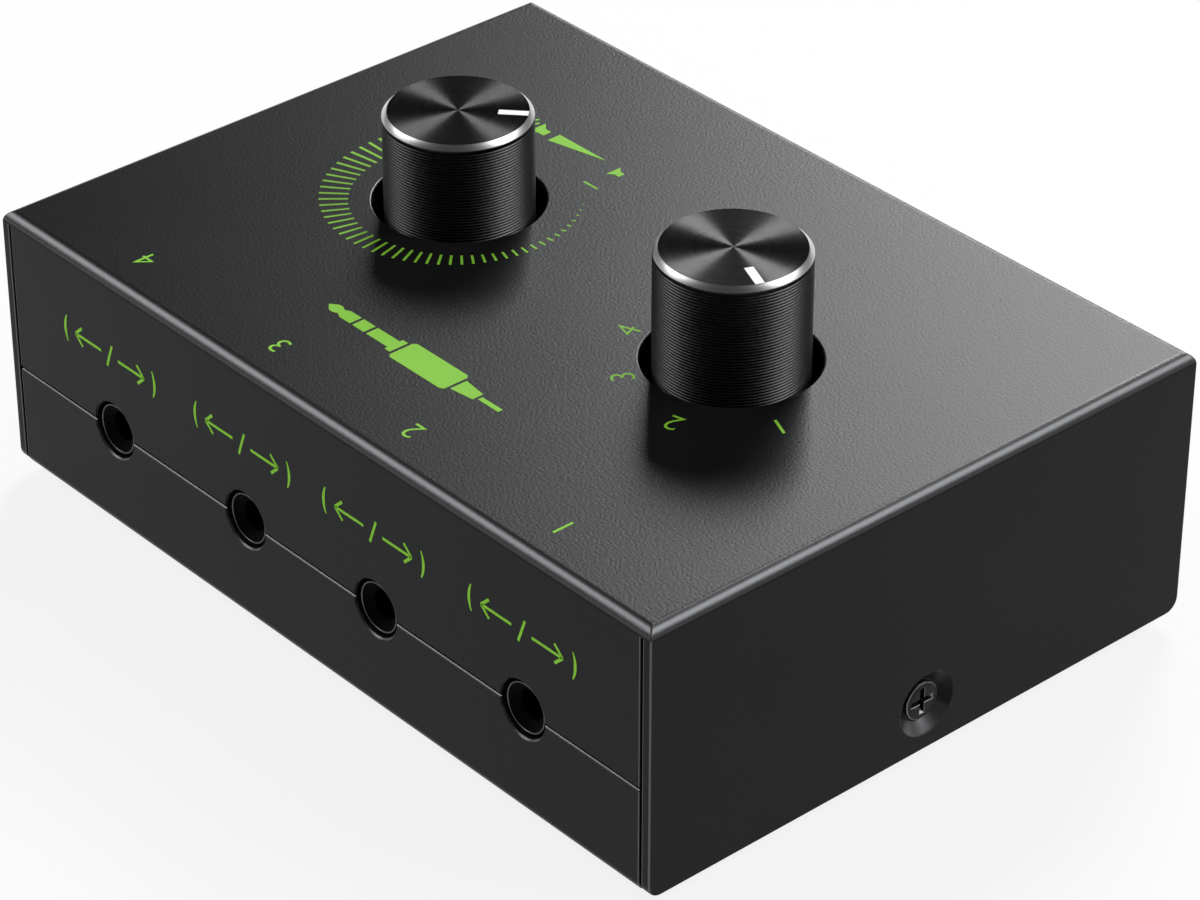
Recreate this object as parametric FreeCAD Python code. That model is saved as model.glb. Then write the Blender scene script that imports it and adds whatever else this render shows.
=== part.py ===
import FreeCAD, Part
import math
import os

# Desktop audio source selector: four front jacks, one common jack, a volume knob
# and a four-way selector knob. Millimetres, +Z up, +X along the row of four jacks,
# the four jacks on the -Y side. The origin is on the ground under the case's middle.

V = FreeCAD.Vector
ALONG = V(1, 0, 0)
BACK = V(0, 1, 0)
UP = V(0, 0, 1)
BEYOND = 1.0  # how far a cutting tool runs past the faces it cuts

# Case: a folded sheet cover over a folded sheet tray
case_width = 110.0
case_depth = 79.0
case_height = 33.5
sheet = 1.2
bend_inside = 0.2
wall_corner_radius = 1.7
corner_slit = 0.35
seam_gap = 0.3
seam_height = 13.4
tray_lift = 0.1
edge_break = 0.15

# Feet
foot_height = 1.6
foot_radius = 5.0
foot_bevel = 0.6
foot_inset_x = 11.0
foot_inset_y = 10.5

# Side screws, countersunk, each in a pressed dimple of the side wall
screw_height = 5.9
screw_radius = 1.25
screw_head_radius = 2.3
screw_head_rim = 0.15
screw_length = 7.0
screw_head_depth = 0.65
dimple_mouth_radius = 3.85
dimple_wall = 1.1
seat_clearance = 0.02
screw_hole_clearance = 0.1
dimple_end_wall = 0.85
tab_half_width = 8.0
tab_height = 9.5
tab_relief = 1.0
collar_length = 1.5
collar_wall = 1.0
cross_length = 3.3
cross_width = 0.75
cross_depth = 1.1
cross_tip_radius = 0.75

# Circuit board on four pillars
board_thickness = 1.6
board_edge_gap_x = 5.3
board_edge_gap_y = 0.7
board_corner_radius = 1.5
pillar_inset_x = 3.5
pillar_inset_y = 17.6
pillar_across_flats = 5.5
pillar_spigot_radius = 2.2
board_screw_radius = 1.5
board_screw_length = 6.0
board_screw_head_radius = 2.75
board_screw_head_height = 1.8
board_screw_slot_width = 0.8
board_screw_slot_length = 3.6
board_screw_slot_depth = 0.9
board_hole_clearance = 0.1

# Fits
thread_clearance = 0.02
press_clearance = 0.01
running_clearance = 0.05

# Stereo jacks, 3.5 mm plugs
outer_jack_inset = 19.65
jack_pitch = 24.05
common_jack_x = 0.0
panel_hole_radius = 3.45
panel_hole_bevel = 0.3
nose_radius = 3.1
nose_edge = 0.08
nose_mouth_radius = 2.9
nose_mouth_depth = 0.8
nose_recess = 0.55
jack_panel_gap = 0.2
jack_width = 8.0
jack_length = 14.1
jack_axis_height = 3.6
jack_body_above_axis = 3.6
plug_bore_radius = 1.8
plug_bore_depth = 14.2
sleeve_contact_depth = 3.4
ring_contact_depth = 8.3
tip_contact_depth = 12.0
contact_width = 1.0
contact_thickness = 0.3
contact_rise = 1.2
contact_side_gap = 0.02
contact_slot_open = 1.5
contact_slot_gap = 0.15
lead_width = 0.8
lead_below_board = 1.2
lead_hole_radius = 0.6

# Knobs
knob_spacing = 45.5
knobs_middle_x = -0.2
knobs_middle_y = 1.2
knob_hole_radius = 10.0
knob_radius = 8.65
knob_height = 17.0
knob_bevel = 0.6
knob_wall = 1.3
knob_top_thickness = 2.2
volume_knob_rise = 11.4
selector_knob_rise = 13.75
insert_hub_radius = 4.8
insert_ribs = 6
insert_rib_width = 1.2
insert_bore_end = 1.0
pointer_start = 4.55
pointer_end = 8.0
pointer_width = 1.05
pointer_depth = 0.3
volume_pointer_angle = 42.5
selector_pointer_angle = -22.5

# Shafts, D-shaped where a knob sits
shaft_radius = 3.0
shaft_flat = 1.5
shaft_tip_gap = 0.5
knob_bushing_gap = 2.8

# Volume potentiometer, two gangs
pot_width = 12.4
pot_height = 9.0
pot_floor = 1.0
pot_cavity_radius = 5.2
pot_plate = 1.2
pot_bushing_radius = 3.5
pot_journal_radius = 2.0
pot_journal_end = 0.3
pot_rotor_lift = 0.3
pot_gang_pitch = 3.9
pot_wafer_thickness = 0.8
pot_wafer_hole_radius = 3.1
pot_disc_radius = 4.6
pot_disc_thickness = 1.2
pot_hub_radius = 2.8
pot_wiper_gap = 0.05
pot_wiper_thickness = 0.5
pot_wiper_width = 1.0
pot_lead_pitch = 2.5
pot_lead_row = 1.0
pot_lead_thickness = 0.3
pot_lead_inner_end = 4.1

# Selector switch, two poles by four ways, eight 45 degree steps
switch_ways = 4
switch_width = 17.4
switch_floor = 1.0
switch_base_height = 3.5
switch_housing_height = 7.5
switch_cavity_radius = 7.8
switch_cavity_roof = 0.9
switch_plate = 1.2
switch_bushing_radius = 4.5
switch_steps = 8
switch_journal_radius = 2.0
switch_rotor_radius = 6.7
switch_rotor_height = 2.6
switch_pad_radius = 6.2
switch_pad_length = 1.6
switch_pad_width = 1.4
switch_pad_thickness = 0.25
switch_common_radius = 3.0
switch_common_gap = 0.8
switch_bridge_thickness = 0.3
switch_bridge_width = 1.0
switch_sliding_gap = 0.05
detent_wheel_radius = 5.6
detent_wheel_height = 2.0
detent_notch_radius = 1.0
detent_notch_depth = 0.35
detent_spring_thickness = 0.25
detent_spring_half_angle = 38.0
detent_spring_angle = 112.5
stop_ring_radius = 7.4
stop_ring_thickness = 0.6
stop_tab_width = 1.2

# Levels and faces that follow from the sizes
half_x = case_width / 2
half_y = case_depth / 2
inner_x = half_x - sheet
inner_y = half_y - sheet
wall_bottom = foot_height - tray_lift
case_top = wall_bottom + case_height
cover_inside = case_top - sheet
seam = wall_bottom + seam_height
tray_bottom = foot_height
tray_floor = tray_bottom + sheet
tray_x = inner_x - corner_slit
bend_outside = bend_inside + sheet
board_top = seam - jack_axis_height
board_bottom = board_top - board_thickness
lead_end = board_bottom - lead_below_board
board_x = half_x - sheet - board_edge_gap_x
board_y = inner_y - board_edge_gap_y
pillar_x = board_x - pillar_inset_x
pillar_y = board_y - pillar_inset_y
screw_z = wall_bottom + screw_height
seat_radius = screw_head_radius + seat_clearance
seat_hole_radius = screw_radius + screw_hole_clearance
seat_start = screw_head_depth + screw_head_rim
seat_end = seat_start + seat_radius - seat_hole_radius
dimple_depth = seat_end + dimple_end_wall
tab_outer_x = half_x - dimple_depth - running_clearance
volume_x = knobs_middle_x - knob_spacing / 2
selector_x = knobs_middle_x + knob_spacing / 2
volume_knob_top = case_top + volume_knob_rise
selector_knob_top = case_top + selector_knob_rise
volume_knob_bottom = volume_knob_top - knob_height
selector_knob_bottom = selector_knob_top - knob_height
outer_jack_x = half_x - outer_jack_inset
inner_jack_x = outer_jack_x - jack_pitch
contact_places = ((sleeve_contact_depth, 1), (ring_contact_depth, -1), (tip_contact_depth, 1))
jacks = (
    ("jack_1", outer_jack_x, -1),
    ("jack_2", inner_jack_x, -1),
    ("jack_3", -inner_jack_x, -1),
    ("jack_4", -outer_jack_x, -1),
    ("common_jack", common_jack_x, 1),
)


def block(x0, x1, y0, y1, z0, z1):
    return Part.makeBox(x1 - x0, y1 - y0, z1 - z0, V(x0, y0, z0))


def rod(radius, x, y, z0, z1):
    return Part.makeCylinder(radius, z1 - z0, V(x, y, z0), UP)


def turned(profile):
    """Solid of revolution about +Z from a closed outline of (radius, height) points."""
    points = [V(r, 0, z) for r, z in profile]
    face = Part.Face(Part.makePolygon(points + points[:1]))
    return face.revolve(V(0, 0, 0), UP, 360)


def tube(outer, inner, z0, z1):
    return turned([(inner, z0), (outer, z0), (outer, z1), (inner, z1)])


def moved(shape, x, y, z=0.0, turn=0.0):
    """Copy turned about +Z by an angle in degrees, then moved."""
    copy = shape.copy()
    copy.rotate(V(0, 0, 0), UP, turn)
    copy.translate(V(x, y, z))
    return copy


def side_facing(shape, side):
    """Turns a shape built along +Z so that its +Z points inwards from a side wall's face."""
    copy = shape.copy()
    copy.rotate(V(0, 0, 0), V(0, 1, 0), -90 * side)
    copy.translate(V(side * half_x, 0, screw_z))
    return copy


def near(a, b):
    return abs(a - b) < 1e-6


def edges_along(shape, direction, test):
    """Straight edges along a direction whose two ends both pass the test."""
    chosen = []
    for edge in shape.Edges:
        ends = [vertex.Point for vertex in edge.Vertexes]
        if len(ends) != 2 or not all(test(p) for p in ends):
            continue
        if near(abs((ends[1] - ends[0]).dot(direction)), edge.Length):
            chosen.append(edge)
    return chosen


def level_edges(shape, z):
    """All straight edges at one height."""
    def at_level(p):
        return near(p.z, z)
    return edges_along(shape, ALONG, at_level) + edges_along(shape, BACK, at_level)


def joined(shape, others):
    return shape.fuse(others).removeSplitter()


def group(shapes):
    return Part.makeCompound(shapes)


def save(node, shape):
    if not shape.isValid():
        raise ValueError(node + " is not a valid shape")
    shape.exportStep("parts/" + node + ".step")


def d_rod(clearance, z0, z1):
    """Round rod with one flat, as the shafts and the knobs' bores have."""
    radius = shaft_radius + clearance
    flat = block(shaft_flat + clearance, radius + BEYOND, -radius - BEYOND, radius + BEYOND, z0, z1)
    return rod(radius, 0, 0, z0, z1).cut(flat)


def panel_hole(x, side):
    """Round hole for a jack's nose with a bevelled outer edge, across the seam."""
    face_y = side * half_y
    inwards = V(0, -side, 0)
    start = V(x, face_y + side * BEYOND, seam)
    hole = Part.makeCylinder(panel_hole_radius, sheet + 2 * BEYOND, start, inwards)
    wide = panel_hole_radius + panel_hole_bevel
    bevel = Part.makeCone(wide, panel_hole_radius, panel_hole_bevel, V(x, face_y, seam), inwards)
    return hole.fuse(bevel)


def knob_hole(x):
    """Hole in the cover's top for a knob, with its upper edge broken."""
    hole = rod(knob_hole_radius, x, knobs_middle_y, cover_inside - BEYOND, case_top + BEYOND)
    wide = knob_hole_radius + edge_break
    start = V(x, knobs_middle_y, case_top - edge_break)
    bevel = Part.makeCone(knob_hole_radius, wide, edge_break, start, UP)
    return hole.fuse(bevel)


def dimple_bulge():
    """Inner side of the dimple, pressed in around the screw's seat."""
    return turned([
        (0, sheet / 2),
        (dimple_mouth_radius + dimple_wall, sheet / 2),
        (dimple_mouth_radius + dimple_wall, sheet),
        (seat_radius + dimple_wall, screw_head_depth + dimple_wall),
        (seat_hole_radius + dimple_wall, dimple_depth),
        (0, dimple_depth),
    ])


def dimple_recess():
    """Wide cone down to the head, the head's own seat, and the shank's hole."""
    return turned([
        (0, -BEYOND),
        (dimple_mouth_radius, -BEYOND),
        (dimple_mouth_radius, 0),
        (seat_radius, screw_head_depth),
        (seat_radius, seat_start),
        (seat_hole_radius, seat_end),
        (seat_hole_radius, dimple_depth + BEYOND),
        (0, dimple_depth + BEYOND),
    ])


def top_cover():
    outer = block(-half_x, half_x, -half_y, half_y, wall_bottom, case_top)
    outer = outer.makeFillet(bend_outside, level_edges(outer, case_top))
    corners = edges_along(outer, ALONG, lambda p: near(p.z, wall_bottom))
    outer = outer.makeFillet(wall_corner_radius, corners)
    inner = block(-inner_x, inner_x, -inner_y, inner_y, wall_bottom - BEYOND, cover_inside)
    inner = inner.makeFillet(bend_inside, level_edges(inner, cover_inside))
    cover = outer.cut(inner)
    cuts = [knob_hole(volume_x), knob_hole(selector_x)]
    cuts += [panel_hole(x, side) for node, x, side in jacks]
    for side in (-1, 1):
        y0, y1 = sorted((side * (inner_y - BEYOND), side * (half_y + BEYOND)))
        low_edge = seam + seam_gap / 2
        cuts.append(block(-inner_x, inner_x, y0, y1, wall_bottom - BEYOND, low_edge))
        for end in (-1, 1):
            x0, x1 = sorted((end * inner_x, end * tray_x))
            slit_top = case_top - bend_outside
            cuts.append(block(x0, x1, y0, y1, wall_bottom - BEYOND, slit_top))
    cover = cover.cut(cuts)
    cover = joined(cover, [side_facing(dimple_bulge(), side) for side in (-1, 1)])
    return cover.cut([side_facing(dimple_recess(), side) for side in (-1, 1)])


def tray_tab(side):
    """Upright tab with a tapped collar that a side screw pulls the cover against."""
    x0, x1 = sorted((side * tab_outer_x, side * (tab_outer_x - sheet)))
    tab = block(x0, x1, -tab_half_width, tab_half_width, tray_bottom, tray_floor + tab_height)
    collar_start = V(side * (tab_outer_x - sheet / 2), 0, screw_z)
    collar_radius = screw_radius + collar_wall
    collar = Part.makeCylinder(
        collar_radius, sheet / 2 + collar_length, collar_start, V(-side, 0, 0))
    return tab.fuse(collar)


def tapped_hole(side):
    start = V(side * (tab_outer_x + BEYOND), 0, screw_z)
    length = sheet + collar_length + 2 * BEYOND
    return Part.makeCylinder(screw_radius + thread_clearance, length, start, V(-side, 0, 0))


def base_tray():
    top = seam - seam_gap / 2
    tray = block(-tray_x, tray_x, -half_y, half_y, tray_bottom, top)
    tray = tray.makeFillet(bend_outside, edges_along(tray, ALONG, lambda p: near(p.z, tray_bottom)))
    hollow = block(-half_x, half_x, -inner_y, inner_y, tray_floor, top + BEYOND)
    hollow = hollow.makeFillet(bend_inside, edges_along(hollow, ALONG, lambda p: near(p.z, tray_floor)))
    tray = tray.cut(hollow)
    rims = edges_along(tray, ALONG, lambda p: near(p.z, top) and near(abs(p.y), half_y))
    tray = tray.makeChamfer(edge_break, rims)
    cuts = [panel_hole(x, side) for node, x, side in jacks]
    for side in (-1, 1):
        x0, x1 = sorted((side * tab_outer_x, side * half_x))
        y1 = tab_half_width + tab_relief
        cuts.append(block(x0, x1, -y1, y1, tray_bottom - BEYOND, tray_floor + BEYOND))
    for x, y in pillar_places():
        radius = pillar_spigot_radius + press_clearance
        cuts.append(rod(radius, x, y, tray_bottom - BEYOND, tray_floor + BEYOND))
    tray = tray.cut(cuts)
    tray = joined(tray, [tray_tab(side) for side in (-1, 1)])
    return tray.cut([tapped_hole(side) for side in (-1, 1)])


def cross_recess():
    """Cross driver recess that narrows with depth, from height 0 upwards."""
    half = cross_length / 2
    wide = cross_width / 2
    bars = block(-half, half, -wide, wide, -BEYOND, cross_depth)
    bars = bars.fuse(block(-wide, wide, -half, half, -BEYOND, cross_depth))
    taper = Part.makeCone(half + BEYOND, cross_tip_radius, cross_depth + BEYOND, V(0, 0, -BEYOND), UP)
    return bars.common(taper)


def side_screws():
    neck = seat_start + screw_head_radius - screw_radius
    screw = turned([
        (0, screw_head_depth),
        (screw_head_radius, screw_head_depth),
        (screw_head_radius, seat_start),
        (screw_radius, neck),
        (screw_radius, screw_head_depth + screw_length - edge_break),
        (screw_radius - edge_break, screw_head_depth + screw_length),
        (0, screw_head_depth + screw_length),
    ])
    recess = cross_recess()
    recess.translate(V(0, 0, screw_head_depth))
    screw = screw.cut(recess)
    return group([side_facing(screw, side) for side in (-1, 1)])


def rubber_feet():
    foot = turned([
        (0, 0),
        (foot_radius - foot_bevel, 0),
        (foot_radius, foot_bevel),
        (foot_radius, foot_height),
        (0, foot_height),
    ])
    places = [
        (sx * (half_x - foot_inset_x), sy * (half_y - foot_inset_y))
        for sx in (-1, 1) for sy in (-1, 1)
    ]
    return group([moved(foot, x, y) for x, y in places])


def pillar_places():
    return [(sx * pillar_x, sy * pillar_y) for sx in (-1, 1) for sy in (-1, 1)]


def hexagon_prism(across_flats, z0, z1):
    corner = across_flats / 2 / math.cos(math.radians(30))
    points = [
        V(corner * math.cos(math.radians(60 * i)), corner * math.sin(math.radians(60 * i)), z0)
        for i in range(6)
    ]
    return Part.Face(Part.makePolygon(points + points[:1])).extrude(V(0, 0, z1 - z0))


def board_pillars():
    pillar = hexagon_prism(pillar_across_flats, tray_floor, board_bottom)
    spigot = rod(pillar_spigot_radius, 0, 0, tray_bottom, tray_floor)
    bore = rod(board_screw_radius + thread_clearance, 0, 0, tray_bottom - BEYOND, board_bottom + BEYOND)
    pillar = pillar.fuse(spigot).cut(bore)
    return group([moved(pillar, x, y) for x, y in pillar_places()])


def board_screws():
    head_top = board_top + board_screw_head_height
    screw = turned([
        (0, board_top - board_screw_length),
        (board_screw_radius, board_top - board_screw_length),
        (board_screw_radius, board_top),
        (board_screw_head_radius, board_top),
        (board_screw_head_radius, head_top - edge_break),
        (board_screw_head_radius - edge_break, head_top),
        (0, head_top),
    ])
    half = board_screw_slot_width / 2
    reach = board_screw_slot_length / 2
    slot_floor = head_top - board_screw_slot_depth
    slots = block(-reach, reach, -half, half, slot_floor, head_top + BEYOND)
    slots = slots.fuse(block(-half, half, -reach, reach, slot_floor, head_top + BEYOND))
    screw = screw.cut(slots)
    return group([moved(screw, x, y) for x, y in pillar_places()])


def jack_turn(side):
    """Jacks are built facing -Y; the one on the +Y side is turned round."""
    return 0 if side < 0 else 180


def jack_place(shape, x, side):
    return moved(shape, x, side * (half_y - nose_recess), seam, jack_turn(side))


def nose_length():
    return sheet + jack_panel_gap - nose_recess


def jack_contact_x():
    return plug_bore_radius + contact_side_gap


def jack_housing():
    """Body with a round, dished nose at y = 0 and the plug's bore along +Y."""
    start = nose_length()
    nose = Part.makeCylinder(nose_radius, start, V(0, 0, 0), BACK)
    rim = [e for e in nose.Edges if near(e.BoundBox.YMax, 0)]
    nose = nose.makeFillet(nose_edge, rim)
    body = block(
        -jack_width / 2, jack_width / 2, start, start + jack_length,
        -jack_axis_height, jack_body_above_axis)
    body = body.makeChamfer(edge_break, level_edges(body, jack_body_above_axis))
    housing = body.fuse(nose)
    cuts = [Part.makeCylinder(plug_bore_radius, plug_bore_depth + BEYOND, V(0, -BEYOND, 0), BACK)]
    cuts.append(Part.makeCone(nose_mouth_radius, plug_bore_radius, nose_mouth_depth, V(0, 0, 0), BACK))
    for y, side in contact_places:
        outer = jack_contact_x() + contact_thickness + contact_slot_gap
        x0, x1 = sorted((side * contact_slot_open, side * outer))
        half = contact_width / 2 + contact_slot_gap
        top = contact_rise + contact_slot_gap
        cuts.append(block(x0, x1, y - half, y + half, -jack_axis_height - BEYOND, top))
    return housing.cut(cuts)


def jack_contacts():
    """Sleeve, ring and tip springs beside the bore, each with its lead through the board."""
    springs = []
    for y, side in contact_places:
        x0, x1 = sorted((side * jack_contact_x(), side * (jack_contact_x() + contact_thickness)))
        half = contact_width / 2
        blade = block(x0, x1, y - half, y + half, -jack_axis_height, contact_rise)
        lead = block(x0, x1, y - lead_width / 2, y + lead_width / 2, lead_end - seam, -jack_axis_height)
        springs.append(blade.fuse(lead).removeSplitter())
    return group(springs)


def jack_lead_places():
    places = []
    for node, x, side in jacks:
        for y, hand in contact_places:
            along = hand * (jack_contact_x() + contact_thickness / 2)
            places.append((x - side * along, side * (half_y - nose_recess - y)))
    return places


def pot_lead_places():
    """Three leads a gang, the lower gang's row nearer the housing."""
    places = []
    for gang in range(2):
        y = knobs_middle_y - pot_width / 2 - pot_lead_row * (2 * gang + 1)
        for i in (-1, 0, 1):
            places.append((volume_x + i * pot_lead_pitch, y, gang))
    return places


def switch_pad_angles():
    step = 360 / switch_steps
    return [selector_pointer_angle + step * i for i in range(switch_steps)]


def switch_bridge_angles():
    """One bridge for each of the two poles, half a turn apart."""
    return [selector_pointer_angle, selector_pointer_angle + 180]


def switch_common_angles():
    """Each common arc is centred on the middle of its bridge's travel."""
    half_travel = 360 / switch_steps * (switch_ways - 1) / 2
    return [angle - half_travel for angle in switch_bridge_angles()]


def polar(radius, angle):
    return radius * math.cos(math.radians(angle)), radius * math.sin(math.radians(angle))


def switch_lead_places():
    places = [polar(switch_pad_radius, a) for a in switch_pad_angles()]
    places += [polar(switch_common_radius, a) for a in switch_common_angles()]
    return [(selector_x + x, knobs_middle_y + y) for x, y in places]


def main_board():
    board = block(-board_x, board_x, -board_y, board_y, board_bottom, board_top)
    corners = [e for e in board.Edges if near(e.BoundBox.ZLength, board_thickness)]
    board = board.makeFillet(board_corner_radius, corners)
    bottom = board_bottom - BEYOND
    top = board_top + BEYOND
    holes = [
        rod(board_screw_radius + board_hole_clearance, x, y, bottom, top)
        for x, y in pillar_places()
    ]
    leads = jack_lead_places() + [p[:2] for p in pot_lead_places()] + switch_lead_places()
    holes += [rod(lead_hole_radius, x, y, bottom, top) for x, y in leads]
    return board.cut(holes)


# The potentiometer and the switch are built about x = y = 0 and moved to their knobs

def pot_gang_floor(gang):
    """Height of a gang's resistive wafer's lower face."""
    return board_top + pot_floor + gang * pot_gang_pitch


def pot_housing():
    half = pot_width / 2
    top = board_top + pot_height
    housing = block(-half, half, -half, half, board_top, top)
    cavity = rod(pot_cavity_radius, 0, 0, board_top + pot_floor, top + BEYOND)
    journal = rod(pot_journal_radius + running_clearance, 0, 0, board_top + pot_journal_end, top)
    windows = []
    for x, y, gang in pot_lead_places():
        side = lead_width / 2 + contact_slot_gap
        level = pot_gang_floor(gang)
        windows.append(block(
            x - volume_x - side, x - volume_x + side, -half - BEYOND, 0,
            level, level + pot_lead_thickness + contact_slot_gap))
    return housing.cut([cavity, journal] + windows)


def pot_bushing():
    half = pot_width / 2
    base = board_top + pot_height
    plate = block(-half, half, -half, half, base, base + pot_plate)
    bushing = rod(pot_bushing_radius, 0, 0, base, volume_knob_bottom - knob_bushing_gap)
    bore = rod(shaft_radius + running_clearance, 0, 0, base - BEYOND, volume_knob_top)
    return plate.fuse(bushing).removeSplitter().cut(bore)


def pot_wafers():
    """Two rings that carry the resistive tracks, above the leads that feed them."""
    rings = []
    for gang in range(2):
        low = pot_gang_floor(gang) + pot_lead_thickness
        rings.append(tube(
            pot_cavity_radius - running_clearance, pot_wafer_hole_radius,
            low, low + pot_wafer_thickness))
    return group(rings)


def pot_leads():
    """Flat leads from under each wafer, out through the housing and down through the board."""
    leads = []
    for x, y, gang in pot_lead_places():
        local_x = x - volume_x
        local_y = y - knobs_middle_y
        half = lead_width / 2
        low = pot_gang_floor(gang)
        high = low + pot_lead_thickness
        inner_end = -pot_lead_inner_end
        outer_end = local_y - pot_lead_thickness / 2
        flat = block(local_x - half, local_x + half, outer_end, inner_end, low, high)
        upright = block(
            local_x - half, local_x + half, outer_end, outer_end + pot_lead_thickness,
            lead_end, low)
        leads.append(flat.fuse(upright).removeSplitter())
    return group(leads)


def pot_disc_low(gang):
    track = pot_gang_floor(gang) + pot_lead_thickness + pot_wafer_thickness
    return track + pot_wiper_gap + pot_wiper_thickness


def pot_rotor():
    """Two discs on one hub, which the shaft turns."""
    bottom = board_top + pot_floor + pot_rotor_lift
    top = pot_disc_low(1) + pot_disc_thickness
    rotor = rod(pot_hub_radius, 0, 0, bottom, top)
    discs = [
        rod(pot_disc_radius, 0, 0, pot_disc_low(g), pot_disc_low(g) + pot_disc_thickness)
        for g in range(2)
    ]
    bore = rod(pot_journal_radius + press_clearance, 0, 0, bottom - BEYOND, top + BEYOND)
    return joined(rotor, discs).cut(bore)


def pot_wipers():
    """A sprung contact bar under each disc, sliding on the wafer's tracks."""
    bars = []
    for gang in range(2):
        high = pot_disc_low(gang)
        half = pot_wiper_width / 2
        bars.append(block(
            pot_hub_radius + pot_wiper_gap, pot_disc_radius, -half, half,
            high - pot_wiper_thickness, high))
    return group(bars)


def pot_shaft():
    lower_top = pot_disc_low(1) + pot_disc_thickness
    bottom = board_top + pot_journal_end + running_clearance
    tip = volume_knob_top - knob_top_thickness - insert_bore_end - shaft_tip_gap
    shaft = rod(pot_journal_radius, 0, 0, bottom, lower_top)
    shaft = shaft.fuse(rod(shaft_radius, 0, 0, lower_top, volume_knob_bottom))
    return joined(shaft, [d_rod(0.0, volume_knob_bottom, tip)])


def switch_base_top():
    return board_top + switch_base_height


def switch_rotor_low():
    return switch_base_top() + switch_pad_thickness + switch_sliding_gap + switch_bridge_thickness


def switch_wheel_low():
    return switch_rotor_low() + switch_rotor_height


def switch_housing_top():
    return switch_base_top() + switch_housing_height


def switch_base():
    half = switch_width / 2
    base = block(-half, half, -half, half, board_top, switch_base_top())
    over = switch_base_top() + BEYOND
    holes = [rod(switch_journal_radius + running_clearance, 0, 0, board_top + switch_floor, over)]
    for x, y in switch_lead_places():
        radius = lead_width / 2 + press_clearance
        holes.append(rod(radius, x - selector_x, y - knobs_middle_y, board_top - BEYOND, over))
    return base.cut(holes)


def switch_contacts():
    """Eight way pads and two common arcs on the base, each with a round lead."""
    low = switch_base_top()
    high = low + switch_pad_thickness
    contacts = []
    for angle in switch_pad_angles():
        r0 = switch_pad_radius - switch_pad_length / 2
        half = switch_pad_width / 2
        pad = block(r0, r0 + switch_pad_length, -half, half, low, high)
        lead = rod(lead_width / 2, switch_pad_radius, 0, lead_end, low)
        contacts.append(moved(pad.fuse(lead).removeSplitter(), 0, 0, 0, angle))
    for angle in switch_common_angles():
        inner = switch_common_radius - lead_width / 2
        outer = switch_common_radius + lead_width / 2
        half_ring = tube(outer, inner, low, high).common(
            block(switch_common_gap / 2, outer, -outer, outer, low, high))
        lead = rod(lead_width / 2, switch_common_radius, 0, lead_end, low)
        contacts.append(moved(half_ring.fuse(lead).removeSplitter(), 0, 0, 0, angle))
    return group(contacts)


def switch_housing():
    half = switch_width / 2
    low = switch_base_top()
    top = switch_housing_top()
    housing = block(-half, half, -half, half, low, top)
    cavity = rod(switch_cavity_radius, 0, 0, low - BEYOND, top - switch_cavity_roof)
    hole = rod(shaft_radius + running_clearance, 0, 0, low, top + BEYOND)
    return housing.cut([cavity, hole])


def switch_stop_tab(clearance):
    """Small square tab that keys the stop ring to the plate below it."""
    half = stop_tab_width / 2 + clearance
    middle = (switch_bushing_radius + stop_ring_radius) / 2
    low = switch_housing_top()
    high = low + switch_plate + stop_ring_thickness
    return block(middle - half, middle + half, -half, half, low, high)


def switch_bushing():
    half = switch_width / 2
    base = switch_housing_top()
    plate = block(-half, half, -half, half, base, base + switch_plate)
    bushing = rod(switch_bushing_radius, 0, 0, base, selector_knob_bottom - knob_bushing_gap)
    bore = rod(shaft_radius + running_clearance, 0, 0, base - BEYOND, selector_knob_top)
    bushing = plate.fuse(bushing).removeSplitter()
    return bushing.cut([bore, switch_stop_tab(press_clearance)])


def switch_stop_ring():
    low = switch_housing_top() + switch_plate
    ring = tube(stop_ring_radius, switch_bushing_radius + press_clearance, low, low + stop_ring_thickness)
    return joined(ring, [switch_stop_tab(0.0)])


def switch_rotor():
    """Contact carrier with a notched detent wheel above it."""
    low = switch_rotor_low()
    wheel_low = switch_wheel_low()
    wheel_top = wheel_low + detent_wheel_height
    carrier = rod(switch_rotor_radius, 0, 0, low, wheel_low)
    wheel = rod(detent_wheel_radius, 0, 0, wheel_low, wheel_top)
    notches = []
    for angle in switch_pad_angles():
        x, y = polar(detent_wheel_radius + detent_notch_radius - detent_notch_depth, angle)
        notches.append(rod(detent_notch_radius, x, y, wheel_low, wheel_top + BEYOND))
    bore = rod(switch_journal_radius + press_clearance, 0, 0, low - BEYOND, wheel_top + BEYOND)
    return joined(carrier, [wheel.cut(notches)]).cut(bore)


def switch_bridges():
    """Two sprung bars that join a way's pad to the common arc beside it."""
    high = switch_rotor_low()
    low = high - switch_bridge_thickness
    half = switch_bridge_width / 2
    bar = block(switch_common_radius - half, switch_pad_radius + half, -half, half, low, high)
    return group([moved(bar, 0, 0, 0, a) for a in switch_bridge_angles()])


def detent_spring():
    """Bowed leaf whose middle presses towards the notched wheel."""
    ends = switch_cavity_radius - running_clearance - detent_spring_thickness
    x_end, y_end = polar(ends, detent_spring_half_angle)
    z = switch_wheel_low() + running_clearance
    low = V(x_end, -y_end, z)
    middle = V(detent_wheel_radius + running_clearance, 0, z)
    high = V(x_end, y_end, z)
    thick = V(detent_spring_thickness, 0, 0)
    face = Part.Face(Part.Wire([
        Part.Arc(low, middle, high).toShape(),
        Part.LineSegment(high, high + thick).toShape(),
        Part.Arc(high + thick, middle + thick, low + thick).toShape(),
        Part.LineSegment(low + thick, low).toShape(),
    ]))
    leaf = face.extrude(V(0, 0, detent_wheel_height - 2 * running_clearance))
    return moved(leaf, 0, 0, 0, detent_spring_angle)


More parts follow.
